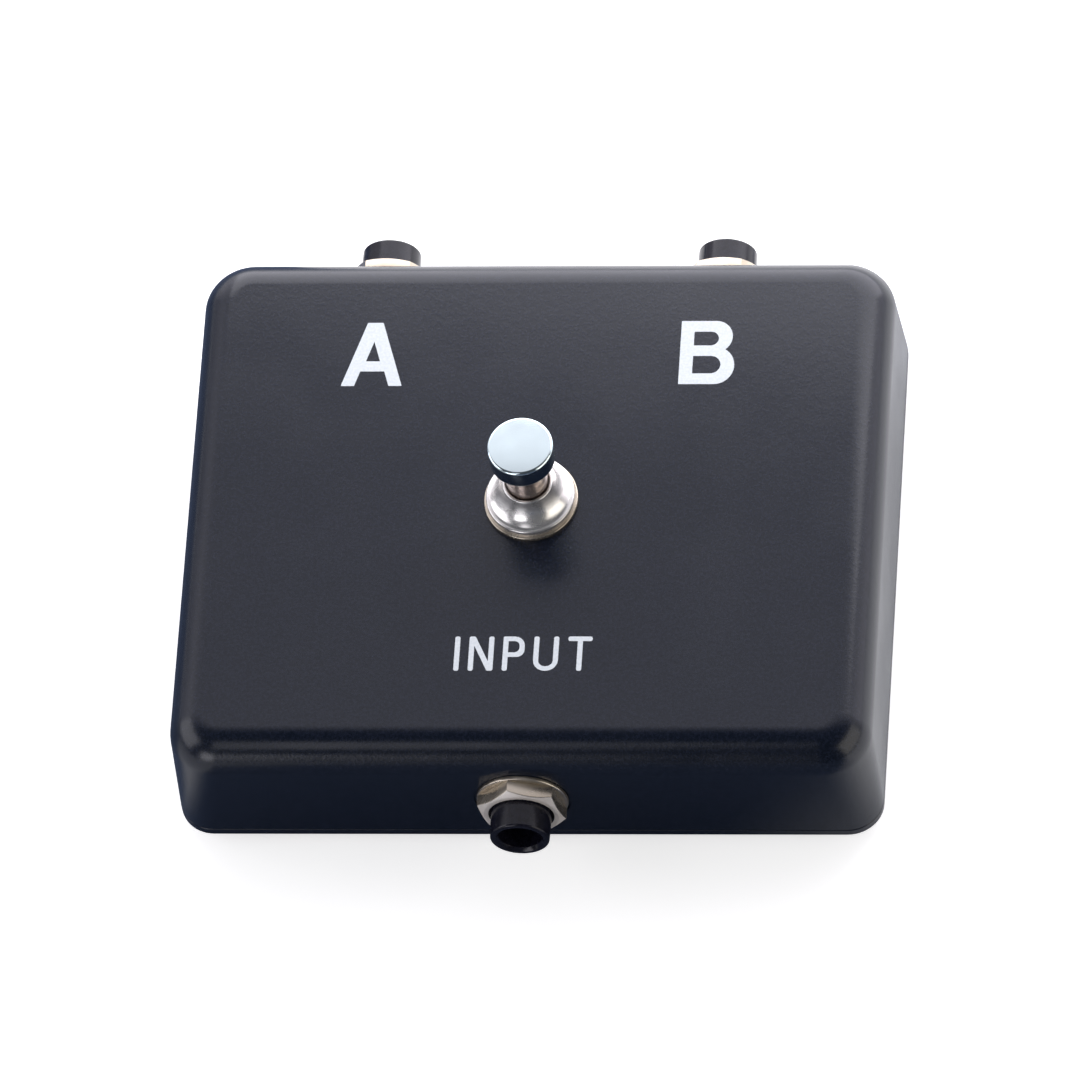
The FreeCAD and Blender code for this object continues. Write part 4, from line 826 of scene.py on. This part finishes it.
def grow(name, tree, values):
    """A plain mesh object from a tree, its inputs given by name and set by identifier."""
    holder = bpy.data.objects.new(name, bpy.data.meshes.new(name))
    step = holder.modifiers.new("grown", "NODES")
    step.node_group = tree
    for item in tree.interface.items_tree:
        if item.item_type == "SOCKET" and item.name in values:
            step[item.identifier] = values[item.name]
    bpy.context.scene.collection.objects.link(holder)
    return finished(holder)


def repeated(name, template, half_x, half_y, material, largest_turn=0.0, seed=3):
    """The template on four corners, as one plain mesh."""
    piece = grow(name, CORNERS_TREE, {
        "Template": template, "Half Spacing X": half_x, "Half Spacing Y": half_y,
        "Largest Turn": largest_turn, "Seed": seed, "Material": material})
    bpy.data.objects.remove(template)
    return piece


CORNERS_TREE = corners_tree()
print("tree:", CORNERS_TREE.name)

# %% [markdown]
# A cover screw is a cone with a short shank and a crossed recess that narrows as it goes in. The head is
# turned, the cross is cut with a tapered tool, and the tree sets four of them, each stopped at an angle of
# its own, because nobody lines up screw slots.

# %% Four countersunk screws
SCREW_HEAD = 2.9 * MM
SCREW_BODY = 1.5 * MM
SCREW_TIP = 1.1 * MM
TIP_SLOPE = 0.4 * MM
HEAD_EDGE = 0.08 * MM
NECK_ROUND = 0.1 * MM
TIP_EDGE = 0.05 * MM
CROSS_ARM = 1.75 * MM
CROSS_HALF = 0.38 * MM
CROSS_DEPTH = 0.9 * MM
CROSS_TAPER = 0.8
HALF_SQUARE = math.sqrt(2)
screw_low, screw_high = low["cover_screws"], high["cover_screws"]


def screw_template():
    length = screw_high.z - screw_low.z
    to_head = Matrix.Translation((0.0, 0.0, screw_low.z))
    head = turned([
        (0.0, 0.0, 0), (SCREW_HEAD, 0.0, HEAD_EDGE), (SCREW_BODY, HEAD_HEIGHT, NECK_ROUND),
        (SCREW_BODY, length - TIP_SLOPE, TIP_EDGE), (SCREW_TIP, length, TIP_EDGE), (0.0, length, 0)],
        64, closed=False)
    screw = make_piece("screw_template", head, ZINC, to_head)
    cross = bmesh.new()
    for turn_by in (0.0, math.pi / 2):
        blade = bmesh.ops.create_cone(
            cross, cap_ends=True, segments=4, depth=2.0,
            radius1=HALF_SQUARE, radius2=CROSS_TAPER * HALF_SQUARE)
        scale = Matrix.Diagonal((CROSS_ARM, CROSS_HALF, CROSS_DEPTH, 1.0))
        spin = Matrix.Rotation(turn_by, 4, "Z") @ scale @ Matrix.Rotation(math.pi / 4, 4, "Z")
        bmesh.ops.transform(cross, matrix=spin, verts=blade["verts"])
    combine(screw, make_piece("cross", cross, ZINC, to_head), "DIFFERENCE", tool_overlaps=True)
    return shaded(screw)


screws = repeated(
    "countersunk_screws", screw_template(), screw_x, screw_y, ZINC, largest_turn=math.pi / 2, seed=7)
settle(screws, "case", "steel", "cover_screws")

# %% [markdown]
# The feet are soft squares of moulded rubber, slightly worn round where they meet the floor. The template
# is a stack of rounded rings like the case, and the same tree sets it under the four corners.

# %% Four rubber feet
FOOT_CORNER = 2.0 * MM
FOOT_WEAR = 0.6 * MM
foot_low, foot_high = low["foot_rear_right"], high["foot_rear_right"]
foot_middle = (foot_low + foot_high) / 2
foot_half = (foot_high.x - foot_low.x) / 2
foot_levels = [(foot_high.z, 0.0)]
foot_levels += [
    (foot_low.z + FOOT_WEAR * up_by, FOOT_WEAR * in_by) for up_by, in_by in quarter_round(ROUND_STEPS)]
foot_rings = [
    rounded_ring(foot_half - inset, foot_half - inset, FOOT_CORNER - inset, height)
    for height, inset in foot_levels]
foot_template = make_piece("foot_template", joined_rings(foot_rings), RUBBER)
feet = repeated("rubber_feet", foot_template, foot_middle.x, foot_middle.y, RUBBER)
settle(feet, "case", "rubber", "foot_front_left", "foot_front_right", "foot_rear_left", "foot_rear_right")

# %% [markdown]
# The push button is a chromed mushroom: a flat-topped cap over a straight stem. Its collar is a nut that
# hides the switch's thread, with a round flat flange, a cone that stands on it, and a thin rim. Under it
# lies a plain washer. All three are turned. The cone flares out towards the flange in one hollow curve, so
# that its foot looks up at the softboxes and its neck at the box's own dark top.

# %% The push button
CAP_ROUND = 0.45 * MM
CAP_UNDER_ROUND = 0.3 * MM
STEM_RADIUS = 3.3 * MM
STEM_ROUND = 0.15 * MM
GRIP_RADIUS = 2.55 * MM
GRIP_DEPTH = 5.0 * MM
GRIP_ROUND = 0.1 * MM
on_switch = Matrix.Translation((switch_axis.x, switch_axis.y, 0.0))


def button_mesh():
    bottom, top = low["push_button"].z, high["push_button"].z
    cap = (high["push_button"].x - low["push_button"].x) / 2
    cap_low = top - CAP_HEIGHT
    grip_top = bottom + GRIP_DEPTH
    return turned([
        (0.0, top, 0), (cap, top, CAP_ROUND), (cap, cap_low, CAP_UNDER_ROUND),
        (STEM_RADIUS, cap_low, STEM_ROUND), (STEM_RADIUS, bottom, STEM_ROUND),
        (GRIP_RADIUS, bottom, GRIP_ROUND), (GRIP_RADIUS, grip_top, GRIP_ROUND), (0.0, grip_top, 0)],
        closed=False)


settle(make_piece("button_cap", button_mesh(), CHROME, on_switch), "button", "chrome", "push_button")

# %% [markdown]
# The collar's hollow flare is a curve from three points: its foot on the flange, its rim, and a point
# between them that pulls the curve in towards the axis.

# %% Its collar and washer
FLANGE_HEIGHT = 1.2 * MM
FLANGE_UNDER_ROUND = 0.15 * MM
FLANGE_ROUND = 0.3 * MM
FLARE_FOOT = 6.3 * MM
FLARE_PULL = (4.4 * MM, 2.2 * MM)
FLARE_RIM = 3.85 * MM
FLARE_STEPS = 12
RIM_ROUND = 0.18 * MM
MOUTH_ROUND = 0.1 * MM
INNER_ROUND = 0.05 * MM
COLLAR_MOUTH = 3.45 * MM
COLLAR_THREAD = 4.05 * MM
THREAD_ABOVE_CASE = 2.6 * MM
WASHER_EDGE = 0.18 * MM
WASHER_EDGE_SHARE = 0.3


def collar_mesh():
    bottom, top = low["dress_collar"].z, high["dress_collar"].z
    flange, flange_top = high["dress_collar"].x, bottom + FLANGE_HEIGHT
    step = case_high.z + THREAD_ABOVE_CASE
    foot = Vector((FLARE_FOOT, flange_top))
    pull = Vector((FLARE_PULL[0], bottom + FLARE_PULL[1]))
    rim = Vector((FLARE_RIM, top))
    flare = []
    for point in range(FLARE_STEPS):
        t = point / FLARE_STEPS
        flare.append((*(foot * (1 - t) ** 2 + pull * 2 * t * (1 - t) + rim * t ** 2), 0))
    return turned([
        (COLLAR_THREAD, bottom, INNER_ROUND), (flange, bottom, FLANGE_UNDER_ROUND),
        (flange, flange_top, FLANGE_ROUND), *flare, (*rim, RIM_ROUND), (COLLAR_MOUTH, top, MOUTH_ROUND),
        (COLLAR_MOUTH, step, INNER_ROUND), (COLLAR_THREAD, step, INNER_ROUND)])


def washer_mesh(inner, outer, bottom, top):
    edge = min(WASHER_EDGE, (top - bottom) * WASHER_EDGE_SHARE)
    return turned([(inner, bottom, edge), (outer, bottom, edge), (outer, top, edge), (inner, top, edge)])


settle(make_piece("collar_nut", collar_mesh(), COLLAR_CHROME, on_switch), "case", "chrome", "dress_collar")
washer_low, washer_high = low["dress_washer"], high["dress_washer"]
mesh = washer_mesh(SWITCH_BORE, washer_high.x, washer_low.z, washer_high.z)
collar_washer = make_piece("collar_washer", mesh, WARM_NICKEL, on_switch)
settle(collar_washer, "case", "warm_nickel", "dress_washer")

# %% [markdown]
# A jack's nut is a hexagon whose outer corners are just broken by a shallow cone. The sweep function makes
# it from one rule: at each angle the flat of the hexagon is so far from the axis, and the cone takes away
# what stands above it. A spanner leaves every nut at an angle of its own, so each has its own turn. Its end
# face and cone, which look along the jack, get the paler, more satin finish; the paler colour is a painted
# highlight.

# %% Hex nuts and jack washers
NUT_FLATS = 12.0 * MM
NUT_THREAD = 4.8 * MM
NUT_EDGE = 0.12 * MM
THREAD_MOUTH = 0.25 * MM
CONE_START = 0.95
CONE_SLOPE = math.tan(math.radians(27))
FACE_ON = 0.85
NUT_SEGMENTS = 192
NUT_TURNS = {"input": -17, "output_a": 3, "output_b": -5}
JACK_WASHER = 7.0 * MM


def nut_mesh(bottom, top):
    half = NUT_FLATS / 2
    start = half * CONE_START
    mouth = NUT_THREAD + THREAD_MOUTH

    def profile_at(angle):
        from_flat = angle % (math.pi / 3) - math.pi / 6
        reach = half / math.cos(from_flat)
        drop = (reach - start) * CONE_SLOPE
        return rounded([
            (NUT_THREAD, bottom, NUT_EDGE), (start, bottom, 0), (reach, bottom, NUT_EDGE),
            (reach, top - drop, NUT_EDGE), (start, top, NUT_EDGE), (mouth, top, NUT_EDGE),
            (NUT_THREAD, top - THREAD_MOUTH, 0)])

    return sweep_profile(profile_at, NUT_SEGMENTS)


def jack_ends(node):
    """How far the near and the far end of a jack's piece lie from the middle of the box."""
    return sorted((abs(low[node].y), abs(high[node].y)))


for jack, turn_by in NUT_TURNS.items():
    placement = facing(jack) @ Matrix.Rotation(math.radians(turn_by), 4, "Z")
    nut = make_piece(f"{jack}_hex_nut", nut_mesh(*jack_ends(f"{jack}_nut")), WARM_NICKEL, placement)
    # The faces that look along the jack get the paler nickel, a painted highlight.
    nut.data.materials.append(NUT_FACE_PAINTED_HIGHLIGHT)
    for face in nut.data.polygons:
        face.material_index = int(abs(face.normal.y) > FACE_ON)
    settle(nut, "case", "warm_nickel", f"{jack}_nut")
    mesh = washer_mesh(NUT_THREAD, JACK_WASHER, *jack_ends(f"{jack}_washer"))
    ring = make_piece(f"{jack}_flat_washer", mesh, WARM_NICKEL, facing(jack))
    settle(ring, "case", "warm_nickel", f"{jack}_washer")

# %% [markdown]
# A jack's housing is one moulding: a chamber inside the box and a nose that comes out through the wall. The
# chamber keeps its CAD form. The nose is what people see, so it is cut off inside the nut and turned again:
# a smooth plug that narrows a little, as a moulding must to leave its mould, with a well rounded end and a
# small funnel that leads the plug in. An exact union makes the two one moulding again.

# %% Jack housings with a turned nose
NOSE_AT_NUT = 4.68 * MM
NOSE_AT_END = 4.52 * MM
NOSE_ROUND = 0.9 * MM
NOSE_BORE = 3.25 * MM
NOSE_FUNNEL = 0.5 * MM
FUNNEL_ROUND = 0.1 * MM
HIDDEN_IN_NUT = 0.6 * MM
NOSE_OVERLAP = 0.2 * MM
CAD_SAME_SPOT = 1e-6


def housing(jack):
    """The moulding of one jack: the CAD chamber with a nose turned in the jack's own frame."""
    node = f"{jack}_housing"
    cut = jack_ends(f"{jack}_nut")[1] - HIDDEN_IN_NUT
    tip = jack_ends(node)[1]
    root = cut - NOSE_OVERLAP
    mesh = bmesh.new()
    mesh.from_mesh(frame["nodes"][node].data)
    bmesh.ops.remove_doubles(mesh, verts=mesh.verts, dist=CAD_SAME_SPOT)
    moulding = make_piece(f"{jack}_jack", mesh, JACK_PLASTIC)
    combine(moulding, cylinders("cut", [jack], NUT_FLATS / 2, cut, tip + MM), "DIFFERENCE")
    nose = turned([
        (NOSE_BORE, root, 0), (NOSE_AT_NUT, root, 0), (NOSE_AT_END, tip, NOSE_ROUND),
        (NOSE_BORE + NOSE_FUNNEL, tip, FUNNEL_ROUND), (NOSE_BORE, tip - NOSE_FUNNEL, FUNNEL_ROUND)])
    combine(moulding, make_piece("nose", nose, JACK_PLASTIC, facing(jack)), "UNION")
    return crisp(moulding)


for jack in JACKS:
    settle(housing(jack), "case", "black_plastic", f"{jack}_housing")

# %% [markdown]
# The lettering is a thin coat of screen-printed ink: plain sans letters, two large ones for the outputs and
# a small word for the input. A few strokes of one width make each letter, so its outline is drawn here as
# corners with their own rounds, with holes where the letter is open. The large letters come first. All
# numbers in these outlines are millimetres from the letter's lower left corner.

# %% Outlines of the large letters
BOW_STEPS = 16
INK_CORNER = 0.12
INK_NOTCH = 0.1


def bow(centre_x, centre_y, across, upright, start, end):
    """Points of an ellipse's arc, which is how the round side of a B runs."""
    points = []
    for step in range(BOW_STEPS + 1):
        angle = math.radians(start + (end - start) * step / BOW_STEPS)
        points.append((centre_x + across * math.cos(angle), centre_y + upright * math.sin(angle), 0))
    return points


def letter_a(width, height):
    top, foot = 2.4, 2.06
    lean = (width - top) / 2 / height
    bar_low, bar_high, apex = 0.23 * height, 0.39 * height, 0.70 * height
    corners = [
        (0, 0), ((width - top) / 2, height), ((width + top) / 2, height), (width, 0), (width - foot, 0),
        (width - foot - lean * bar_low, bar_low), (foot + lean * bar_low, bar_low), (foot, 0)]
    outline = [(x, y, INK_CORNER) for x, y in corners]
    reach = lean * (apex - bar_high)
    hole = [(width / 2 - reach, bar_high, 0), (width / 2, apex, 0), (width / 2 + reach, bar_high, 0)]
    return [outline, hole]


def letter_b(width, height):
    stem, bar = 2.05, 1.9
    waist, shade_cover = 0.551 * height, 2.13
    upper = bow(width - 3.08, height - 2.8, 2.6, 2.8, 90, -53.1)
    lower = bow(width - 3.0, 3.3, 3.0, 3.3, 60.8, -90)
    outline = [(0, 0, INK_CORNER), (0, height, INK_CORNER)] + upper + lower
    lower_hole = (bar, waist - 0.62 * bar, width - shade_cover)
    upper_hole = (waist + 0.36 * bar, height - bar, width - 0.48 - shade_cover)
    holes = []
    for bottom, top, right_side in (lower_hole, upper_hole):
        half = (top - bottom) / 2
        holes.append([(stem, bottom, INK_NOTCH), (stem, top, INK_NOTCH)]
                     + bow(right_side - half, bottom + half, half, half, 90, -90))
    return [outline, *holes]


LABELS = {
    "a": ((-26.05, 26.28), letter_a(9.46, 11.26)),
    "b": ((25.58, 26.46), letter_b(8.48, 11.22)),
}
print({label: len(outlines) for label, (centre, outlines) in LABELS.items()}, "outlines")

# %% [markdown]
# The small word is drawn with a thin pen whose strokes end in soft corners. Its five letters are each a
# function of a width and a height, and a loop sets them side by side with equal gaps.

# %% Outlines of the small word
PEN = 0.79
SOFT = 0.3
SMALL_HEIGHT = 5.95
SMALL_GAP = 1.4


def upright_i(width, height):
    return [[(0, 0, SOFT), (0, height, SOFT), (width, height, SOFT), (width, 0, SOFT)]]


def upright_n(width, height):
    diagonal = 1.15 * PEN
    bite = height * PEN / (width - diagonal)
    return [[
        (0, 0, SOFT), (0, height, SOFT), (diagonal, height, SOFT), (width - PEN, bite, 0),
        (width - PEN, height, SOFT), (width, height, SOFT), (width, 0, SOFT), (width - diagonal, 0, SOFT),
        (PEN, height - bite, 0), (PEN, 0, SOFT)]]


def upright_p(width, height):
    foot = height - 3.55
    outline = [
        (0, 0, SOFT), (0, height, 0.2), (width, height, 1.7), (width, foot, 1.7), (PEN, foot, 0),
        (PEN, 0, SOFT)]
    inside = [
        (PEN, foot + PEN, 0), (PEN, height - PEN, 0), (width - PEN, height - PEN, 0.9),
        (width - PEN, foot + PEN, 0.9)]
    return [outline, inside]


def upright_u(width, height):
    return [[
        (0, height, SOFT), (PEN, height, SOFT), (PEN, PEN, 1.0), (width - PEN, PEN, 1.0),
        (width - PEN, height, SOFT), (width, height, SOFT), (width, 0, 1.85), (0, 0, 1.85)]]


def upright_t(width, height):
    left, right_side = (width - PEN) / 2, (width + PEN) / 2
    return [[
        (0, height, SOFT), (width, height, SOFT), (width, height - PEN, SOFT),
        (right_side, height - PEN, 0), (right_side, 0, SOFT), (left, 0, SOFT),
        (left, height - PEN, 0), (0, height - PEN, SOFT)]]


SMALL_LETTERS = ((upright_i, PEN), (upright_n, 3.8), (upright_p, 3.3), (upright_u, 3.8), (upright_t, 3.7))
word, start = [], 0.0
for letter, width in SMALL_LETTERS:
    outlines = letter(width, SMALL_HEIGHT)
    word += [[(x + start, y, round_by) for x, y, round_by in outline] for outline in outlines]
    start += width + SMALL_GAP
LABELS["input"] = ((0.32, -26.46), word)
print(f"{len(word)} outlines, {start - SMALL_GAP:.2f} mm long")

# %% [markdown]
# A flat curve fills each outline, and a hair of extrusion gives the coat its edge. The curve is made a mesh
# first, and the mesh is then brought to its size and laid on the top.

# %% Printed letters
INK_RISE = 0.03
CURVE_SAME_SPOT = 1e-4


def curve_mesh(data):
    """An edit mesh of what a curve makes, its doubles merged and its faces outwards."""
    curve = added(data.name, data)
    mesh = bmesh.new()
    mesh.from_mesh(evaluated(curve))
    bpy.data.objects.remove(curve)
    bmesh.ops.remove_doubles(mesh, verts=mesh.verts, dist=CURVE_SAME_SPOT)
    bmesh.ops.recalc_face_normals(mesh, faces=mesh.faces)
    return mesh


def printed(label, centre, outlines):
    data = bpy.data.curves.new(f"label_{label}", "CURVE")
    data.dimensions = "2D"
    data.fill_mode = "BOTH"
    data.extrude = INK_RISE / 2
    for outline in outlines:
        points = rounded(outline)
        line = data.splines.new("POLY")
        line.points.add(len(points) - 1)
        for place, point in zip(line.points, points):
            place.co = (*point, 0.0, 1.0)
        line.use_cyclic_u = True
    mesh = curve_mesh(data)
    across = [vertex.co.x for vertex in mesh.verts]
    upwards = [vertex.co.y for vertex in mesh.verts]
    shift = Matrix.Translation((
        centre[0] - (min(across) + max(across)) / 2, centre[1] - (min(upwards) + max(upwards)) / 2,
        case_high.z / MM + INK_RISE / 2))
    return make_piece(f"label_{label}", mesh, INK, Matrix.Scale(MM, 4) @ shift)


for label, (centre, outlines) in LABELS.items():
    ink = printed(label, centre, outlines)
    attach(ink, "case")
    size = ink.dimensions / MM
    print(f"{ink.name}: {len(ink.data.polygons)} faces, {size.x:.2f} x {size.y:.2f} mm")

# %% [markdown]
# The return spring stands in the switch's housing round the plunger rod, between a ledge and the rod's stop
# collar. A spring is a circle that follows a helix, so Geometry Nodes grow it: a spiral of so many turns, a
# small circle swept along it with filled ends, and a shift to its seat. The button squeezes it from 4.3 to
# 1.9 mm; here it rides on the case.

# %% The return spring
SPRING_WIRE = 0.25 * MM
SPRING_COIL = 2.85 * MM
SPRING_TURNS = 2.5
HELIX_STEPS = 48
WIRE_STEPS = 16


def spring_tree():
    tree, source = new_tree("coil spring", {
        "Coil Radius": ("Float", 0.003), "Wire Radius": ("Float", 0.0003), "Turns": ("Float", 3.0),
        "Height": ("Float", 0.004), "Seat": ("Vector", None)})
    helix = add_node(tree, "GeometryNodeCurveSpiral", {
        "Resolution": HELIX_STEPS, "Rotations": source["Turns"], "Start Radius": source["Coil Radius"],
        "End Radius": source["Coil Radius"], "Height": source["Height"]})
    section = add_node(tree, "GeometryNodeCurvePrimitiveCircle", {
        "Resolution": WIRE_STEPS, "Radius": source["Wire Radius"]})
    sweep = add_node(tree, "GeometryNodeCurveToMesh", {
        "Curve": helix["Curve"], "Profile Curve": section["Curve"], "Fill Caps": True})
    seated = add_node(tree, "GeometryNodeTransform", {
        "Geometry": sweep["Mesh"], "Translation": source["Seat"]})
    return end_tree(tree, source, seated["Geometry"])


spring_low, spring_high = low["return_spring"], high["return_spring"]
spring = grow("coil_spring", spring_tree(), {
    "Coil Radius": SPRING_COIL, "Wire Radius": SPRING_WIRE, "Turns": SPRING_TURNS,
    "Height": spring_high.z - spring_low.z - 2 * SPRING_WIRE,
    "Seat": (switch_axis.x, switch_axis.y, spring_low.z + SPRING_WIRE), "Material": ZINC})
shaded(spring)
settle(spring, "case", "steel", "return_spring")
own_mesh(spring)

# %% [markdown]
# Five hookup wires join the jacks to the switch. Each lies along listed points, from lug to lug, and a
# smooth curve through that route gives the soft bends of stranded wire. A bevel gives the curve its
# insulation, and the result is made a mesh. The box holds them all the way, so none of them is a free cord.

# %% Routes of the hookup wires, in millimetres
HALF_STRIP = 0.2
LUG_HOLE_UP = 1.3
BELOW_ROOF = 2.5
CLEAR_OF_SWITCH = 1.8
LUG_INWARDS = 1.8
lug_y = low["output_a_tip_spring"].y / MM
tip_z = low["output_a_tip_spring"].z / MM + HALF_STRIP
axis_z = jack_z / MM
lug_z = low["terminal_common"].z / MM + LUG_HOLE_UP
lug_front, lug_back = low["terminal_common"].y / MM, high["terminal_common"].y / MM
sleeve_in = low["input_sleeve_spring"].x / MM + HALF_STRIP
sleeve_a = high["output_a_sleeve_spring"].x / MM - HALF_STRIP
sleeve_b = high["output_b_sleeve_spring"].x / MM - HALF_STRIP
over_z = (case_high.z - ROOF) / MM - BELOW_ROOF
switch_left = low["switch_housing"].x / MM
switch_y = switch_axis.y / MM
behind_switch = high["switch_housing"].y / MM + CLEAR_OF_SWITCH
lug_middle = lug_y + LUG_INWARDS


def output_route(output, side):
    """From a switch terminal to the tip lug of the output on that side."""
    terminal = f"terminal_{output}"
    start = (low[terminal].x + high[terminal].x) / 2 / MM
    end = JACKS[f"output_{output}"][1] / MM
    return [
        (start, lug_back, lug_z), (start, lug_back + 4.5, lug_z),
        (start + 4 * side, lug_back + 8.2, lug_z - 0.4), (end - 4 * side, lug_y - 8.2, tip_z - 0.3),
        (end, lug_y - 4.5, tip_z), (end, lug_y, tip_z)]


ROUTES = {
    "wire_input": [
        (0.0, -lug_y, tip_z), (0.0, -lug_y + 5, tip_z),
        (0.0, lug_front - 4.5, lug_z), (0.0, lug_front, lug_z)],
    "wire_a": output_route("a", -1),
    "wire_b": output_route("b", 1),
    "wire_ground_a": [
        (sleeve_in, -lug_y, axis_z), (sleeve_in, -lug_y + 5, axis_z),
        (switch_left - 5, switch_y - 4, over_z - 3), (switch_left - 8, lug_y - 12, over_z),
        (sleeve_a, lug_middle - 6, over_z + 1), (sleeve_a, lug_middle, over_z - 1),
        (sleeve_a, lug_middle, axis_z + 1.5)],
    "wire_ground_b": [
        (sleeve_a, lug_y, axis_z), (sleeve_a, lug_y - 5, axis_z),
        (sleeve_a + 8, behind_switch + 1, axis_z + 1.5), (-sleeve_in, behind_switch, axis_z + 2.5),
        (sleeve_b - 8, behind_switch + 1, axis_z + 1.5), (sleeve_b, lug_y - 5, axis_z),
        (sleeve_b, lug_y, axis_z)],
}
print({node: len(route) for node, route in ROUTES.items()}, "points")

# %% Hookup wires
WIRE_RADIUS = 0.65
slot_of = {row["node"]: row["material_slot"] for row in frame["record"]["subparts"]}


def hookup_wire(node, route):
    data = bpy.data.curves.new(node, "CURVE")
    data.dimensions = "3D"
    data.bevel_depth = WIRE_RADIUS
    data.bevel_resolution = 3
    data.use_fill_caps = True
    data.resolution_u = 10
    line = data.splines.new("NURBS")
    line.points.add(len(route) - 1)
    for place, spot in zip(line.points, route):
        place.co = (*spot, 1.0)
    line.order_u = 3
    line.use_endpoint_u = True
    return make_piece(f"insulated_{node}", curve_mesh(data), INSULATION[slot_of[node]], Matrix.Scale(MM, 4))


for node, route in ROUTES.items():
    settle(hookup_wire(node, route), "case", slot_of[node], node)

# %% [markdown]
# What lies inside keeps its CAD form, which is already true to size. Each of those nodes gets its own
# finish, and a weld joins its loose triangles into one skin.

# %% Finishes for the pieces inside
INNER = {
    "steel": ZINC, "nickel": NICKEL, "contact_brass": TINNED_BRASS, "switch_plastic": SWITCH_PLASTIC,
    "board": LAMINATE,
}
WELD_REACH = 0.002 * MM
visible = {node: piece for node, piece in frame["nodes"].items() if not piece.hide_render}
for node, piece in visible.items():
    piece.data.materials.clear()
    piece.data.materials.append(INNER[slot_of[node]])
    weld = piece.modifiers.new("joined triangles", "WELD")
    weld.merge_threshold = WELD_REACH
print(f"{len(visible)} inner nodes dressed")
